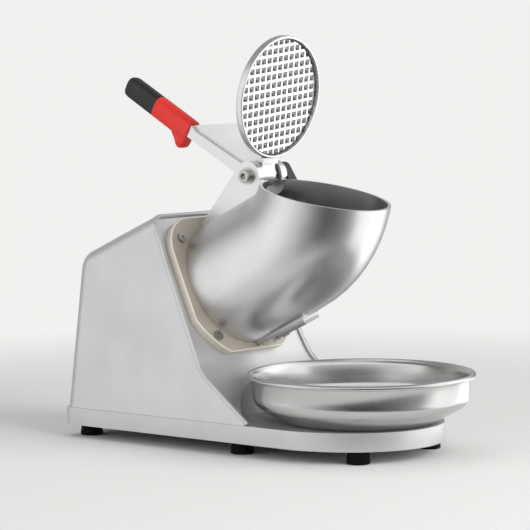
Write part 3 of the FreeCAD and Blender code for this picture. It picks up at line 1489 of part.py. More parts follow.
os.makedirs("parts", exist_ok=True)
for name, make in nodes.items():
    shape = make()
    solids = shape.Solids
    piece = solids[0] if len(solids) == 1 else Part.makeCompound(solids)
    piece.exportStep("parts/" + name + ".step")
    box = piece.BoundBox
    print(name, len(solids), piece.isValid(), round(piece.Volume / 1000, 1),
          [round(v, 1) for v in (box.XMin, box.XMax, box.YMin, box.YMax, box.ZMin, box.ZMax)])
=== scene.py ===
import math

import bmesh
import bpy
import numpy as np
from mathutils import Matrix, Vector


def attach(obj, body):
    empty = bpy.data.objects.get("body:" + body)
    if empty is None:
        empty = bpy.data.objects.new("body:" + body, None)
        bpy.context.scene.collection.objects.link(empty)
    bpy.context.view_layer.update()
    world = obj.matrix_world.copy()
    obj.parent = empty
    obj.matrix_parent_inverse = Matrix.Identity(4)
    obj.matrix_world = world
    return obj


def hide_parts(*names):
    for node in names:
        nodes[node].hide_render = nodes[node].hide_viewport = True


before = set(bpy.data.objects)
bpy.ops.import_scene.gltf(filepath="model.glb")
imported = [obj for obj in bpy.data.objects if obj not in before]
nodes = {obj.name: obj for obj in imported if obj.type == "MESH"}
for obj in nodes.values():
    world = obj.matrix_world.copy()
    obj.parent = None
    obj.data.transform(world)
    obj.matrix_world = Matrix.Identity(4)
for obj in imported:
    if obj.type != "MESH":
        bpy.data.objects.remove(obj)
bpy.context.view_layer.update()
mm = 0.001

# where the drum, the lever's pivot and the bowl stand, in mm and degrees, from the same sizes as the solids
layout = dict(drumX=-56.2, drumZ=148.5, drumTilt=26.0, pivotX=-20.298, pivotZ=251.681, discAngle=80.0,
              armAngle=150.0, bowlX=94.2, baseTop=29.0)
drumTilt = math.radians(layout["drumTilt"])
drumAhead = np.array([math.cos(drumTilt), 0, math.sin(drumTilt)])  # along the drum, away from the housing


def toLinear(hexColour):
    # sRGB hex to linear light: v / 12.92 near black, ((v + 0.055) / 1.055) ^ 2.4 above
    values = [int(hexColour[i:i + 2], 16) / 255 for i in (1, 3, 5)]
    return [v / 12.92 if v <= 0.04045 else ((v + 0.055) / 1.055) ** 2.4 for v in values] + [1.0]


def aboutPivot(points, angle):
    # (along, across, up) from the lever's pivot, in a frame turned by "angle" about Y, to (x, y, z), in mm
    turn = math.radians(angle)
    points = np.asarray(points, float)
    out = np.empty_like(points)
    out[..., 0] = layout["pivotX"] + points[..., 0] * math.cos(turn) - points[..., 2] * math.sin(turn)
    out[..., 1] = points[..., 1]
    out[..., 2] = layout["pivotZ"] + points[..., 0] * math.sin(turn) + points[..., 2] * math.cos(turn)
    return out


def arc(cx, cy, radius, start, end, count):
    # (cx + r cos t, cy + r sin t) for t from "start" to "end" in degrees
    turn = np.radians(np.linspace(start, end, count))
    return np.stack([cx + radius * np.cos(turn), cy + radius * np.sin(turn)], -1)


def lathe(profile, count):
    # a profile of (radius, height) carried once round the Z axis: (r cos t, r sin t, h)
    profile = np.asarray(profile, float)
    turn = np.linspace(0, 2 * math.pi, count, endpoint=False)[None, :]
    r, h = profile[:, 0:1], profile[:, 1:2]
    return np.stack([r * np.cos(turn), r * np.sin(turn), h + 0 * turn], -1)


# distances in mm at which a new mesh's points are merged and its edges dropped
meshLimits = dict(merge=0.002, drop=0.001)


def markSharp(work, smoothAngle):
    # smooth faces, and a sharp edge where two of them meet at more than "smoothAngle" or the mesh is open
    limit = math.radians(smoothAngle)
    for face in work.faces:
        face.smooth = True
    for edge in work.edges:
        edge.smooth = len(edge.link_faces) == 2 and edge.calc_face_angle(0) < limit


def meshPiece(name, points, faces, smoothAngle=40.0):
    # points in mm (n, 3) and faces as lists of indices; doubles merged, normals outwards
    mesh = bpy.data.meshes.new(name)
    mesh.from_pydata((np.asarray(points, float) * mm).tolist(), [], faces)
    mesh.update()
    piece = bpy.data.objects.new(name, mesh)
    bpy.context.scene.collection.objects.link(piece)
    work = bmesh.new()
    work.from_mesh(mesh)
    bmesh.ops.remove_doubles(work, verts=work.verts, dist=meshLimits["merge"] * mm)
    bmesh.ops.dissolve_degenerate(work, edges=work.edges, dist=meshLimits["drop"] * mm)
    bmesh.ops.recalc_face_normals(work, faces=work.faces)
    markSharp(work, smoothAngle)
    work.to_mesh(mesh)
    work.free()
    return piece


def gridFaces(rows, columns, closed):
    # quads between neighbours of a rows x columns grid of points, and on to the first column again if closed
    i = np.arange(rows - 1)[:, None]
    j = np.arange(columns if closed else columns - 1)[None, :]
    near, far, ahead = i * columns, (i + 1) * columns, (j + 1) % columns
    return np.stack([near + j, near + ahead, far + ahead, far + j], -1).reshape(-1, 4).tolist()


def tubePiece(name, grid, caps=False, smoothAngle=40.0):
    # a grid (rings, points round, 3) joined into a tube, with a flat end on the first and last ring if "caps"
    rings, count = grid.shape[:2]
    faces = gridFaces(rings, count, True)
    if caps:
        faces.append(list(range(count))[::-1])
        faces.append([(rings - 1) * count + k for k in range(count)])
    return meshPiece(name, grid.reshape(-1, 3), faces, smoothAngle)


def pointPlaces(piece):
    place = np.empty(len(piece.data.vertices) * 3)
    piece.data.vertices.foreach_get("co", place)
    return place.reshape(-1, 3)


def setPointValues(piece, name, values):
    layer = piece.data.attributes.new(name, "FLOAT", "POINT")
    layer.data.foreach_set("value", values.astype(np.float32))


# place in mm, angles in degrees, lens and sensor in mm, far limit in metres
view = dict(turn=39.1, rise=4.5, roll=-0.6, place=(1343.9, -1674.9, 337.1), lens=156.2, sensor=36.0,
            limit=50.0)


def makeCamera():
    turn, rise, roll = (math.radians(view[key]) for key in ("turn", "rise", "roll"))
    back = Vector((math.sin(turn) * math.cos(rise), -math.cos(turn) * math.cos(rise), math.sin(rise)))
    right = Vector((math.cos(turn), math.sin(turn), 0))
    up = back.cross(right)
    across = math.cos(roll) * right + math.sin(roll) * up
    above = -math.sin(roll) * right + math.cos(roll) * up
    data = bpy.data.cameras.new("mainCamera")
    data.lens = view["lens"]
    data.sensor_width = view["sensor"]
    data.clip_end = view["limit"]
    camera = bpy.data.objects.new("mainCamera", data)
    matrix = Matrix((across, above, back)).transposed().to_4x4()
    matrix.translation = Vector(view["place"]) * mm
    camera.matrix_world = matrix
    bpy.context.scene.collection.objects.link(camera)
    bpy.context.scene.camera = camera


makeCamera()
print("camera placed")


def addNode(tree, kind, settings=None, values=None, links=None):
    # adds a node, sets its properties and input values, and links its inputs to given outputs
    node = tree.nodes.new(kind)
    for key, value in (settings or {}).items():
        setattr(node, key, value)
    for key, value in (values or {}).items():
        node.inputs[key].default_value = value
    for key, output in (links or {}).items():
        tree.links.new(output, node.inputs[key])
    return node


socketNames = dict(base="Base Color", metallic="Metallic", roughness="Roughness", normal="Normal",
                   specular="Specular IOR Level")


def newMaterial(name, **shader):
    material = bpy.data.materials.new(name)
    material.use_nodes = True
    tree = material.node_tree
    surface = tree.nodes["Principled BSDF"]
    for key, value in shader.items():
        surface.inputs[socketNames[key]].default_value = value
    return material, tree, surface


def feed(tree, surface, **outputs):
    for key, output in outputs.items():
        tree.links.new(output, surface.inputs[socketNames[key]])


def objectPlace(tree):
    return addNode(tree, "ShaderNodeTexCoord").outputs["Object"]


def noise(tree, place, scale, detail):
    return addNode(tree, "ShaderNodeTexNoise", None, {"Scale": scale, "Detail": detail},
                   {"Vector": place}).outputs["Fac"]


def bumpNormal(tree, height, distance):
    bump = addNode(tree, "ShaderNodeBump", None, {"Distance": distance * mm}, {"Height": height})
    return bump.outputs["Normal"]


def ramp(tree, factor, stops):
    # stops of (position, hex colour or grey level)
    node = addNode(tree, "ShaderNodeValToRGB", None, None, {"Fac": factor})
    elements = node.color_ramp.elements
    while len(elements) < len(stops):
        elements.new(0.5)
    for element, (position, colour) in zip(elements, stops):
        element.position = position
        element.color = toLinear(colour) if isinstance(colour, str) else (colour, colour, colour, 1)
    return node.outputs["Color"]


# patches in mm, the detail of both noises, and the part of a noise's range over which a value changes
texture = dict(patch=40.0, patchDetail=3.0, grainDetail=2.0, low=0.3, high=0.7)

# each finish: name, the two colours it drifts between, metallic, least and most roughness, the grain's size
# and bump in mm, and specular where it isn't the usual 0.5
finishes = dict(
    silverPaint=("silverFlakePaint", "#C4C4C5", "#CBCBCC", 0.68, 0.34, 0.40, 0.9, 0.006),  # satin, sprayed
    sheet=("zincSheet", "#8E9092", "#A2A4A6", 1.0, 0.3, 0.42, 1.5, 0.01),
    ivory=("ivoryEnamel", "#D9D3C4", "#E4DFD1", 0.0, 0.32, 0.42, 1.6, 0.02),  # stove enamel over cast iron
    # the ivory darkened: painted shade for the flange's front face, which has the same ivory paint as its
    # edge
    ivoryShade=("ivoryEnamelShade", "#9D968A", "#AEA79B", 0.0, 0.32, 0.42, 1.6, 0.02),
    polishedCast=("buffedCastAluminium", "#D6D6D6", "#E0E0E0", 1.0, 0.30, 0.36, 1.2, 0.006),
    blastedCast=("blastedCastAluminium", "#DADADB", "#E6E6E6", 0.9, 0.34, 0.46, 0.8, 0.03),
    machined=("machinedAluminium", "#B4B5B6", "#C6C7C8", 1.0, 0.28, 0.36, 0.6, 0.01),
    plated=("platedSteel", "#B0B0AE", "#C4C4C1", 1.0, 0.22, 0.34, 0.7, 0.006),  # zinc plated screws
    toolSteel=("groundSteel", "#9FA1A4", "#B5B7B9", 1.0, 0.2, 0.3, 0.5, 0.006),
    redRubber=("redMouldedGrip", "#DC2A1E", "#E43024", 0.0, 0.36, 0.48, 0.8, 0.02, 0.35),
    blackGrip=("blackMouldedGrip", "#131315", "#1B1B1D", 0.0, 0.42, 0.55, 0.8, 0.03),
    blackPlastic=("blackMouldedPlastic", "#141416", "#1C1C1E", 0.0, 0.36, 0.48, 0.9, 0.03),
    rubber=("blackRubber", "#040404", "#070707", 0.0, 0.6, 0.75, 1.2, 0.04, 0.15),
    motorPaint=("darkMotorPaint", "#2C3036", "#363A41", 0.2, 0.4, 0.5, 1.2, 0.02),
    iron=("laminatedIron", "#4A4A4B", "#5C5C5D", 0.9, 0.45, 0.6, 0.7, 0.03))  # rolled sheets of the motor


def grainMaterial(name, low, high, metallic, roughLow, roughHigh, grain, bump, specular=0.5):
    # colour drifts between two hexes over patches, and a fine grain moves roughness and bump
    material, tree, surface = newMaterial(name, metallic=metallic, specular=specular)
    place, start, end = objectPlace(tree), texture["low"], texture["high"]
    patches = noise(tree, place, 1 / mm / texture["patch"], texture["patchDetail"])
    grains = noise(tree, place, 1 / mm / grain, texture["grainDetail"])
    feed(tree, surface, base=ramp(tree, patches, [(start, low), (end, high)]),
         roughness=ramp(tree, grains, [(start, roughLow), (end, roughHigh)]),
         normal=bumpNormal(tree, grains, bump))
    return material


# marks left by spinning the bowl's sheet: noise cells per metre level and in height, bump in mm
spun = dict(level=60.0, height=1400.0, detail=3.0, bump=0.002)


def spunMaterial():
    # level bands round the bowl: noise that changes slowly along a level line and quickly in height
    material, tree, surface = newMaterial("spunStainless", metallic=1.0)
    centred = addNode(tree, "ShaderNodeMapping", None, {"Location": (-layout["bowlX"] * mm, 0, 0)},
                      {"Vector": objectPlace(tree)})
    scale = (spun["level"], spun["level"], spun["height"])
    drawn = addNode(tree, "ShaderNodeMapping", None, {"Scale": scale}, {"Vector": centred.outputs["Vector"]})
    marks = noise(tree, drawn.outputs["Vector"], 1.0, spun["detail"])
    start, end = texture["low"], texture["high"]
    feed(tree, surface, base=ramp(tree, marks, [(start, "#CACAC9"), (end, "#CFCFCE")]),
         roughness=ramp(tree, marks, [(start, 0.19), (end, 0.23)]),
         normal=bumpNormal(tree, marks, spun["bump"]))
    return material


# the casting's grain: noise cells per metre, bump in mm
waffleSkin = dict(grain=900.0, detail=2.0, bump=0.05)


def waffleMaterial():
    # ribs left bright, and pits and channel painted dark and less metallic: painted shade in the recesses of
    # the casting
    material, tree, surface = newMaterial("waffleCastAluminium", metallic=1.0)
    paintedPitShade = addNode(tree, "ShaderNodeAttribute", {"attribute_name": "paintedPitShade"}).outputs["Fac"]
    grains = noise(tree, objectPlace(tree), waffleSkin["grain"], waffleSkin["detail"])
    # bright ribs at 0, painted shade in the pits and the channel towards 1
    feed(tree, surface, base=ramp(tree, paintedPitShade, [(0.0, "#F2F2F1"), (0.5, "#8E8E8D"), (1.0, "#3E3E3E")]),
         roughness=ramp(tree, paintedPitShade, [(0.1, 0.3), (0.8, 0.6)]),
         metallic=ramp(tree, paintedPitShade, [(0.0, 1.0), (0.5, 0.25)]),
         normal=bumpNormal(tree, grains, waffleSkin["bump"]))
    return material


materials = {finish: grainMaterial(*values) for finish, values in finishes.items()}
materials["spunSteel"] = spunMaterial()
materials["waffle"] = waffleMaterial()
print("materials made:", len(materials))


def dress(piece, finish):
    piece.data.materials.clear()
    piece.data.materials.append(materials[finish])
    return piece


cadFinish = dict(silverPaint="base_shell motor_housing", sheet="bottom_plate outlet_chute",
                 ivory="flange_plate", polishedCast="hopper press_disc", blastedCast="lever_casting",
                 machined="blade_holder impeller motor_front_cap motor_rear_cap switch_plunger",
                 plated="foot_screws housing_screws flange_screws hopper_screws blade_screws holder_bolts "
                        "motor_bolts switch_cover_screws disc_screws hinge_bolt hinge_washer hinge_nut "
                        "impeller_nut",
                 toolSteel="blade motor_shaft front_bearing rear_bearing", spunSteel="bowl",
                 redRubber="grip_sleeve", blackGrip="grip_end", rubber="rubber_feet shaft_seal",
                 blackPlastic="cable_gland rocker_bezel power_rocker switch_cover safety_switch cooling_fan",
                 motorPaint="motor_can", iron="motor_stator rotor_core")
for finish, names in cadFinish.items():
    for name in names.split():
        dress(nodes[name], finish)

# castings and covers that keep the solids' shape: node, name, body, bevel in mm, finish, slot
castPieces = [("base_shell", "baseShell", "stand", 0.5, "silverPaint", "base_paint"),
              ("motor_housing", "motorHousing", "stand", 0.9, "silverPaint", "base_paint"),
              ("flange_plate", "flangePlate", "stand", 0.5, "ivory", "flange_ivory"),
              ("hopper", "hopperCasting", "stand", 0.7, "polishedCast", "cast_alu"),
              ("lever_casting", "leverCasting", "press_lever", 1.5, "blastedCast", "cast_alu"),
              ("switch_cover", "switchCover", "stand", 0.6, "blackPlastic", "black_plastic")]

# how such a mesh is cleaned: points merged within "merge" mm, faces joined up to "flatten" degrees, edges
# drawn sharp from "smooth" degrees and rounded from "roundFrom" degrees
castLimits = dict(merge=0.003, flatten=0.03, smooth=32.0, roundFrom=34.0, segments=3)

# the flange's broad front, which is painted in shade: faces whose normal has this cosine or more to the
# drum's axis
flangeShadeCosine = 0.95


def castCopy(node, name, body, bevel):
    # a merged copy of the solid's mesh, with its sharp edges rounded by a bevel of "bevel" mm
    mesh = nodes[node].data.copy()
    mesh.name = name
    mesh.materials.clear()
    piece = bpy.data.objects.new(name, mesh)
    bpy.context.scene.collection.objects.link(piece)
    work = bmesh.new()
    work.from_mesh(mesh)
    bmesh.ops.remove_doubles(work, verts=work.verts, dist=castLimits["merge"] * mm)
    bmesh.ops.dissolve_limit(work, angle_limit=math.radians(castLimits["flatten"]), verts=work.verts,
                             edges=work.edges)
    markSharp(work, castLimits["smooth"])
    work.to_mesh(mesh)
    work.free()
    rounder = piece.modifiers.new("edges", "BEVEL")
    rounder.width = bevel * mm
    rounder.segments = castLimits["segments"]
    rounder.limit_method = "ANGLE"
    rounder.angle_limit = math.radians(castLimits["roundFrom"])
    rounder.miter_outer = "MITER_ARC"
    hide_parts(node)
    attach(piece, body)
    return piece


def paintFlangeFrontShade(piece):
    # the broad front, turned to the drum, gets a darker ivory than the edge: painted shade over the same
    # ivory paint
    piece.data.materials.append(materials["ivoryShade"])
    for face in piece.data.polygons:
        face.material_index = 1 if face.normal.dot(Vector(drumAhead)) > flangeShadeCosine else 0


casts = {}
for node, name, body, bevel, finish, slot in castPieces:
    casts[node] = dress(castCopy(node, name, body, bevel), finish)
# the flange's front face takes the darker ivory of painted shade
paintFlangeFrontShade(casts["flange_plate"])
print("castings dressed:", len(castPieces))

# the housing's front edge in mm and degrees: half its width and its side's lean, a point of the roof and its
# slope, the slanted face's place along the drum and its lower end below the drum's axis, the bend of radius
# "sweep" down to the foot, the upper corners, and the bead's radius and how deep it sits
lip = dict(half=88.0, lean=4.9, roofX=-187.9, roofZ=174.0, roofSlope=24.2, face=-6.0, faceBottom=68.0,
           sweep=50.0, footAngle=54.0, footLift=2.0, corner=13.0, radius=2.0, sink=1.2, footSteps=8,
           bendSteps=14, faceSteps=20, cornerSteps=10, roundSteps=16)


def lipSide():
    # (x, z) up the housing's front edge: a straight foot, an arc and the straight slanted face up to the roof
    foot, slope = math.radians(lip["footAngle"]), math.tan(math.radians(lip["roofSlope"]))
    cosine, sine = math.cos(drumTilt), math.sin(drumTilt)
    faceX = layout["drumX"] + lip["face"] * cosine
    faceZ = layout["drumZ"] + lip["face"] * sine
    faceTop = (lip["roofZ"] + (faceX - lip["roofX"]) * slope - faceZ) / (cosine + sine * slope)
    u = np.linspace(-lip["faceBottom"], faceTop, lip["faceSteps"])
    face = np.stack([faceX - u * sine, faceZ + u * cosine], -1)
    turns = np.linspace(foot, drumTilt, lip["bendSteps"])
    bend = face[0] + lip["sweep"] * np.stack([cosine - np.cos(turns), sine - np.sin(turns)], -1)
    downZ = np.linspace(layout["baseTop"] + lip["footLift"], bend[0, 1], lip["footSteps"])[:-1]
    downX = bend[0, 0] + (bend[0, 1] - downZ) * math.tan(foot)
    return np.concatenate([np.stack([downX, downZ], -1), bend, face[1:]])


def makeLip():
    # a round bead carried along the front edge: up one side, round the corner, over the roof and down the
    # other side; each ring is radius * (cos t * first + sin t * second), square to the path
    side = lipSide()
    top = side[-1]
    side = side[np.hypot(*(side - top).T) > lip["corner"]]
    lean = math.tan(math.radians(lip["lean"]))
    half = lip["half"] - lean * (side[:, 1] - layout["baseTop"])
    halfTop = lip["half"] - lean * (top[1] - layout["baseTop"])
    r = lip["corner"] - lip["sink"]
    turns = np.radians(np.linspace(0, 90, lip["cornerSteps"]))
    upFace = np.array([-drumAhead[2], drumAhead[0]])
    bent = top + upFace * (r * np.sin(turns) - lip["corner"])[:, None]
    bentY = lip["corner"] - halfTop - r * np.cos(turns)
    near = np.concatenate([np.stack([side[:, 0], lip["sink"] - half, side[:, 1]], -1),
                           np.stack([bent[:, 0], bentY, bent[:, 1]], -1)])
    path = np.concatenate([near, near[::-1] * [1, -1, 1]]) - drumAhead * lip["sink"]
    step = np.gradient(path, axis=0)
    step /= np.linalg.norm(step, axis=1)[:, None]
    first = drumAhead - (step @ drumAhead)[:, None] * step
    first /= np.linalg.norm(first, axis=1)[:, None]
    second = np.cross(step, first)
    turn = np.linspace(0, 2 * math.pi, lip["roundSteps"], endpoint=False)[:, None]
    ring = np.cos(turn) * first[:, None, :] + np.sin(turn) * second[:, None, :]
    piece = tubePiece("housingLip", path[:, None, :] + lip["radius"] * ring, caps=True, smoothAngle=50)
    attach(piece, "stand")
    return dress(piece, "silverPaint")


makeLip()
print("housing lip made")

# mm and degrees; the necks are points under the rolled rim, (out from the wall, up from the bead's underside)
bowl = dict(rim=105.0, wall=99.0, corner=12.0, cornerZ=24.0, slope=30.0, foot=4.0, depth=45.0, sheet=1.0,
            bead=2.3, beadFrom=-95.0, beadTo=140.0, neckOut=[(0.9, -0.6), (1.5, 0.1)],
            neckIn=[(0.5, 0.9), (0.0, -0.8)], footSteps=8, cornerSteps=14, beadSteps=16, steps=256)


def bowlUnder(radius, floorZ):
    # from the middle out: the flat bottom, a soft quadratic bend, the slope, and the corner's arc of "radius"
    centre, slope, foot = bowl["wall"] - bowl["corner"], math.radians(bowl["slope"]), bowl["foot"]
    endX, endZ = centre + radius * math.sin(slope), bowl["cornerZ"] - radius * math.cos(slope)
    knee = np.array([endX - (endZ - floorZ) / math.tan(slope), floorZ])
    first, last = knee - [foot, 0], knee + foot * np.array([math.cos(slope), math.sin(slope)])
    t = np.linspace(0, 1, bowl["footSteps"])[:, None]
    soft = (1 - t) ** 2 * first + 2 * t * (1 - t) * knee + t ** 2 * last
    corner = arc(centre, bowl["cornerZ"], radius, bowl["slope"] - 90, 0, bowl["cornerSteps"])
    return np.concatenate([[[0.0, floorZ]], soft, corner])


def makeBowl():
    # lathe of the sheet's outside up from the middle, over the rolled rim and down the inside
    rimX, rimZ = bowl["rim"] - bowl["bead"], bowl["depth"] - bowl["bead"]
    neck = [bowl["wall"], rimZ - bowl["bead"]]
    rim = arc(rimX, rimZ, bowl["bead"], bowl["beadFrom"], bowl["beadTo"], bowl["beadSteps"])
    inside = bowlUnder(bowl["corner"] - bowl["sheet"], bowl["sheet"])[::-1]
    profile = np.concatenate([bowlUnder(bowl["corner"], 0.0), np.add(bowl["neckOut"], neck), rim,
                              np.add(bowl["neckIn"], neck), inside])
    grid = lathe(profile, bowl["steps"]) + [layout["bowlX"], 0, layout["baseTop"]]
    piece = tubePiece("bowlSpun", grid, smoothAngle=50)
    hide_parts("bowl")
    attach(piece, "bowl")
    return dress(piece, "spunSteel")


makeBowl()
print("bowl made")

# mm and degrees: the disc, its ring and the waffle's ribs and pits; "cell" is the grid's step, and the grid's
# points are kept and moved onto its edge by shares of it; "ringEdge" rounds the ring's inner edge
disc = dict(radius=57.6, centre=76.0, face=12.0, thickness=7.0, rim=2.5, overlap=0.1, channel=1.4, recess=3.4,
            pitch=8.0, ribAcross=2.6, ribAlong=1.7, slope=0.4, depth=1.4, turn=6.8, cell=0.4, keepCells=0.8,
            slideCells=0.6, ringDeeper=0.8, ringEdge=[(0, 0.5), (0.15, 0.15), (0.5, 0)], ringSteps=160,
            edge=1.0, edgeSteps=6)

# how dark the painted shade is, from 0 on the ribs: each side of the pits' diagonal, which lies "diagonal" mm
# off their middles, the lower left half darker as a painted shadow of the ribs, and in the channel
pitShadeLevels = dict(diagonal=0.4, lowerLeft=1.0, upperRight=0.5, channel=0.8)


def waffleShape(x, y):
    # flat ribs, steep square pits between them and a channel round them: the depth under the ribs, and how
    # dark the painted shade is there
    d = disc
    half = d["pitch"] / 2
    pitX, pitY = x % d["pitch"] - half, (y + half) % d["pitch"] - half
    inside = np.minimum(half - d["ribAcross"] / 2 - np.abs(pitX), half - d["ribAlong"] / 2 - np.abs(pitY))
    inPit = np.clip(inside / d["slope"], 0, 1)
    channelFrom = d["radius"] - d["rim"] + d["overlap"] - d["channel"]
    inChannel = np.clip((np.hypot(x, y) - channelFrom) / d["slope"], 0, 1)
    # painted shadow of the ribs: the lower left half of each of the pits darker than the upper right
    pitShade = inPit * np.where(pitX + pitY < pitShadeLevels["diagonal"], pitShadeLevels["lowerLeft"], pitShadeLevels["upperRight"])
    return np.maximum(inPit, inChannel) * d["depth"], np.maximum(pitShade, pitShadeLevels["channel"] * inChannel)


def makeWaffle():
    # a square grid of points turned in the disc's plane; points past the ring's edge slide onto it
    d = disc
    field = d["radius"] - d["rim"] + d["overlap"]
    count = 2 * int(field / d["cell"]) + 3
    line = (np.arange(count) - (count - 1) / 2) * d["cell"]
    x, y = np.meshgrid(line, line, indexing="ij")
    r = np.hypot(x, y)
    keep = (r < field + d["keepCells"] * d["cell"]).reshape(-1)
    slide = np.where(r > field - d["slideCells"] * d["cell"], field / np.maximum(r, 1e-6), 1.0)
    x, y = x * slide, y * slide
    cosine, sine = math.cos(math.radians(d["turn"])), math.sin(math.radians(d["turn"]))
    points = np.stack([d["centre"] + x * cosine + y * sine, y * cosine - x * sine,
                       waffleShape(x, y)[0] + d["recess"] - d["face"]], -1)
    quads = np.array(gridFaces(count, count, False))
    quads = quads[keep[quads].all(axis=1)]
    used, faces = np.unique(quads, return_inverse=True)
    points = aboutPivot(points.reshape(-1, 3)[used], layout["discAngle"])
    piece = meshPiece("waffleField", points, faces.reshape(quads.shape).tolist(), smoothAngle=30)
    # the mesh has its points in another order now, so the painted shade comes from each point's place on the
    # disc
    place = pointPlaces(piece) / mm - [layout["pivotX"], 0, layout["pivotZ"]]
    angle = math.radians(layout["discAngle"])
    out, across = place[:, 0] * math.cos(angle) + place[:, 2] * math.sin(angle) - d["centre"], place[:, 1]
    setPointValues(piece, "paintedPitShade", waffleShape(out * cosine - across * sine, out * sine + across * cosine)[1])
    return piece


def makeDiscRing():
    # lathe of the ring and the plain back, round the disc's own axis
    d, edge, steps = disc, disc["edge"], disc["edgeSteps"]
    inner = [(0, d["recess"] + d["ringDeeper"])] + d["ringEdge"]
    profile = np.concatenate([np.add(inner, [d["radius"] - d["rim"], 0]),
                              arc(d["radius"] - edge, edge, edge, -90, 0, steps),
                              arc(d["radius"] - edge, d["thickness"] - edge, edge, 0, 90, steps),
                              [[0.0, d["thickness"]]]])
    grid = lathe(profile, d["ringSteps"]) + [d["centre"], 0, -d["face"]]
    return tubePiece("discRing", aboutPivot(grid, layout["discAngle"]), smoothAngle=50)


waffle = makeWaffle()
ring = makeDiscRing()
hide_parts("press_disc")
for piece, finish in ((waffle, "waffle"), (ring, "polishedCast")):
    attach(piece, "press_lever")
    dress(piece, finish)
print("press disc made")

# mm along the lever from its pivot, and below and above its middle line; "power" is the section's exponent,
# and the guard's slices are (place across, share of its outline)
grip = dict(shoulder=94.0, red=49.0, black=43.0, low=18.6, high=2.7, width=16.0, power=3.2, guardDrop=9.5,
            guardLength=20.0, steps=48,
            guardSlices=[(-6.0, 0.86), (-5.2, 0.96), (-4.0, 1.0), (4.0, 1.0), (5.2, 0.96), (6.0, 0.86)])


def gripTube(name, start, stations):
    # rings along the lever, each station (distance along, scale of the section); the section is the
    # superellipse |y / a| ^ n + |z / b| ^ n = 1 about the grip's middle
    along, scale = np.array(stations).T[:, :, None]
    turn = np.linspace(0, 2 * math.pi, grip["steps"], endpoint=False)
    power = 2 / grip["power"]
    across, up = (np.sign(wave) * np.abs(wave) ** power for wave in (np.cos(turn), np.sin(turn)))
    y = grip["width"] / 2 * scale * across
    z = (grip["low"] - grip["high"]) / 2 + (grip["low"] + grip["high"]) / 2 * scale * up
    grid = np.stack([start + along + 0 * y, y, z], -1)
    return tubePiece(name, aboutPivot(grid, layout["armAngle"]), caps=True, smoothAngle=45)


def makeGrips():
    start, red, black = grip["shoulder"], grip["red"], grip["black"]
    sleeveStations = [(0.1, 0.80), (0.1, 0.95), (0.6, 0.985), (1.5, 1.0), (red / 2, 1.0), (red - 0.5, 1.0),
                      (red, 0.985), (red, 0.9)]
    endStations = [(0.1, 0.9), (0.1, 0.97), (0.6, 0.985), (2.0, 0.99), (black / 2, 0.985), (black - 7, 0.98),
                   (black - 4, 0.95), (black - 2, 0.88), (black - 0.7, 0.75), (black, 0.55)]
    return gripTube("gripSleeve", start, sleeveStations), gripTube("gripEnd", start + red, endStations)


def makeGuard():
    # the finger guard under the sleeve's mouth: one outline, (along from the shoulder, down from the lever's
    # middle line), in slices across the lever, each scaled about the outline's middle
    low, tip, length = grip["low"], grip["low"] + grip["guardDrop"], grip["guardLength"]
    outline = np.array([[0.2, low - 6], [0.2, low + 1], [1.2, tip - 3], [3.0, tip - 0.8], [5.5, tip],
                        [8.5, tip - 1.2], [13.0, low + 4], [length, low - 0.5], [length, low - 6]])
    across, scale = np.array(grip["guardSlices"]).T[:, :, None]
    middle = outline.mean(0)
    slices = middle + (outline - middle) * scale[:, :, None]
    grid = np.stack([grip["shoulder"] + slices[..., 0], across + 0 * slices[..., 0], slices[..., 1]], -1)
    return tubePiece("gripGuard", aboutPivot(grid, layout["armAngle"]), caps=True, smoothAngle=50)


sleeve, gripEnd = makeGrips()
guard = makeGuard()
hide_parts("grip_sleeve")
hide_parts("grip_end")
for piece, finish, slot in ((sleeve, "redRubber", "grip_red"), (guard, "redRubber", "grip_red"),
                            (gripEnd, "blackGrip", "grip_black")):
    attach(piece, "press_lever")
    dress(piece, finish)
print("grips made")

# metres and degrees, but "floorHalf" in mm; boxes light the plain colours: name, bearing from +X, rise,
# distance, size and radiance
stage = dict(floor="#E4E4E3", floorHalf=9000.0, floorRoughness=0.6, backdrop="#F1F1F0", room="#F0F0F0",
             world=0.42, fadeFrom=0.45, fadeTo=1.1, aim=(0, 0, 0.15),
             boxes=[("leftBox", -112.0, 16.0, 2.4, (2.3, 1.7), 2.0),
                    ("rightBox", 8.0, 22.0, 2.4, (2.4, 1.8), 5.0),
                    ("topBox", 150.0, 80.0, 2.0, (1.7, 1.3), 1.1)])

# cards seen only in bright metal: a wall and a ring on the floor, in metres, whose glow changes with the
# bearing from +X; "low" holds up to the first height of "split" and "high" above the second, and each of the
# wall's heights has a share
cards = dict(colour="#F6F6F6", step=3.0, split=(0.55, 0.85), floorRadii=[0.27, 0.5, 1.0, 3.0],
             floorHeight=0.001, floorShare=0.95, wallRadius=3.0, wallHeights=[0.0, 0.55, 0.85, 1.2, 1.7, 3.4],
             wallShares=[0.95, 1.0, 1.0, 1.0, 1.0, 0.75],
             bearing=[-180, -165, -150, -134, -115, -97, -80, -65, -49, -33,
                      -15, 0, 12, 35, 55, 72, 90, 110, 140, 180],
             low=[0.55, 0.5, 0.8, 1.25, 1.25, 0.9, 0.65, 0.25, 0.05, 0.1,
                  0.25, 0.5, 1.7, 1.5, 2.5, 1.7, 0.4, 0.3, 0.6, 0.55],
             high=[0.4, 0.4, 0.8, 1.25, 1.3, 1.2, 1.2, 1.2, 1.2, 1.2,
                   1.2, 1.2, 1.3, 1.6, 1.9, 1.6, 0.9, 0.55, 0.6, 0.55])


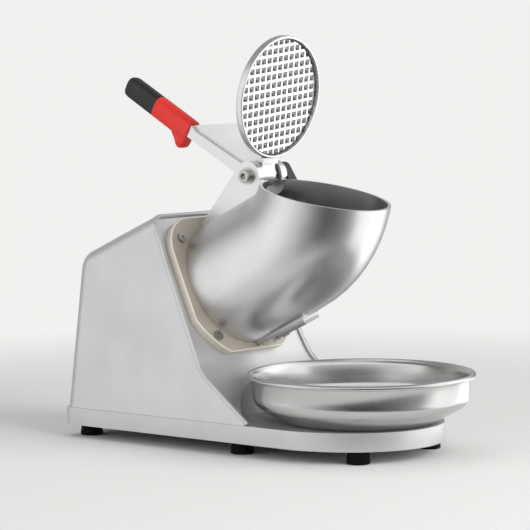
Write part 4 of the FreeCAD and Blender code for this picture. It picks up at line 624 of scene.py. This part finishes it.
def addBox(name, bearing, rise, distance, size, glow):
    # a panel of radiance "glow", which gives off glow * pi * area, turned to the aim
    data = bpy.data.lights.new(name, "AREA")
    data.shape = "RECTANGLE"
    data.size, data.size_y = size
    data.energy = glow * math.pi * size[0] * size[1]
    lamp = bpy.data.objects.new(name, data)
    a, e = math.radians(bearing), math.radians(rise)
    away = Vector((math.cos(a) * math.cos(e), math.sin(a) * math.cos(e), math.sin(e))) * distance
    target = Vector(stage["aim"])
    lamp.location = target + away
    lamp.rotation_euler = (target - lamp.location).to_track_quat("-Z", "Y").to_euler()
    lamp.visible_glossy = False
    bpy.context.scene.collection.objects.link(lamp)


def cardMaterial():
    material, tree, surface = newMaterial("glowingCard")
    tree.nodes.remove(surface)
    glow = addNode(tree, "ShaderNodeAttribute", {"attribute_name": "glow"})
    shine = addNode(tree, "ShaderNodeEmission", None, {"Color": toLinear(cards["colour"])},
                    {"Strength": glow.outputs["Fac"]})
    tree.links.new(shine.outputs[0], tree.nodes["Material Output"].inputs["Surface"])
    return material


def addCard(name, radii, heights, shares, material):
    # rings of points round the Z axis, (r cos t, r sin t, h), glowing by the tables times each height's share
    turn = np.radians(np.arange(-180, 180, cards["step"]))[None, :]
    r, z = np.array(radii)[:, None] / mm, np.array(heights)[:, None] / mm
    card = tubePiece(name, np.stack([r * np.cos(turn), r * np.sin(turn), z + 0 * turn], -1))
    place = pointPlaces(card)
    bearing = np.degrees(np.arctan2(place[:, 1], place[:, 0]))
    low, high = (np.interp(bearing, cards["bearing"], cards[key]) for key in ("low", "high"))
    part = np.interp(place[:, 2], cards["split"], (0, 1))
    share = np.interp(place[:, 2], heights[:len(shares)], shares)
    setPointValues(card, "glow", (low + (high - low) * part) * share)
    card.data.materials.append(material)
    card.visible_camera = card.visible_diffuse = card.visible_shadow = card.visible_transmission = False


def addCards():
    material = cardMaterial()
    radii, wall = cards["floorRadii"], cards["wallHeights"]
    addCard("floorCard", radii, [cards["floorHeight"]] * len(radii), [cards["floorShare"]], material)
    addCard("wallCard", [cards["wallRadius"]] * len(wall), wall, cards["wallShares"], material)


def seenByCamera(tree, plain, seen, weight=None):
    # "plain" for every ray, but "seen" where the camera looks, by "weight" if there is one
    factor = addNode(tree, "ShaderNodeLightPath").outputs["Is Camera Ray"]
    if weight:
        product = addNode(tree, "ShaderNodeMath", {"operation": "MULTIPLY"}, None, {0: factor, 1: weight})
        factor = product.outputs[0]
    return addNode(tree, "ShaderNodeMixShader", None, None, {0: factor, 1: plain, 2: seen}).outputs[0]


def makeWorld():
    world = bpy.data.worlds.new("studio")
    bpy.context.scene.world = world
    world.use_nodes = True
    tree = world.node_tree
    room = tree.nodes["Background"]
    room.inputs["Color"].default_value = toLinear(stage["room"])
    room.inputs["Strength"].default_value = stage["world"]
    seen = addNode(tree, "ShaderNodeBackground", None, {"Color": toLinear(stage["backdrop"])})
    mixed = seenByCamera(tree, room.outputs[0], seen.outputs[0])
    tree.links.new(mixed, tree.nodes["World Output"].inputs["Surface"])


def makeFloor():
    # pale floor that runs into the backdrop's colour away from the machine, without gloss, so that it doesn't
    # mirror the card just above it
    half = stage["floorHalf"]
    corners = [(-half, -half, 0), (half, -half, 0), (half, half, 0), (-half, half, 0)]
    floor = meshPiece("floor", corners, [[0, 1, 2, 3]])
    material, tree, surface = newMaterial("paleFloor", base=toLinear(stage["floor"]),
                                          roughness=stage["floorRoughness"], specular=0.0)
    away = addNode(tree, "ShaderNodeVectorMath", {"operation": "LENGTH"}, None, {0: objectPlace(tree)})
    fade = addNode(tree, "ShaderNodeMapRange", {"interpolation_type": "SMOOTHSTEP"},
                   {"From Min": stage["fadeFrom"], "From Max": stage["fadeTo"]},
                   {"Value": away.outputs["Value"]})
    far = addNode(tree, "ShaderNodeEmission", None, {"Color": toLinear(stage["backdrop"]), "Strength": 1.0})
    mixed = seenByCamera(tree, surface.outputs[0], far.outputs[0], fade.outputs["Result"])
    tree.links.new(mixed, tree.nodes["Material Output"].inputs["Surface"])
    floor.data.materials.append(material)


def makeStage():
    bpy.context.scene.view_settings.view_transform = "Standard"
    makeFloor()
    makeWorld()
    for box in stage["boxes"]:
        addBox(*box)
    addCards()


makeStage()
print("stage lit")
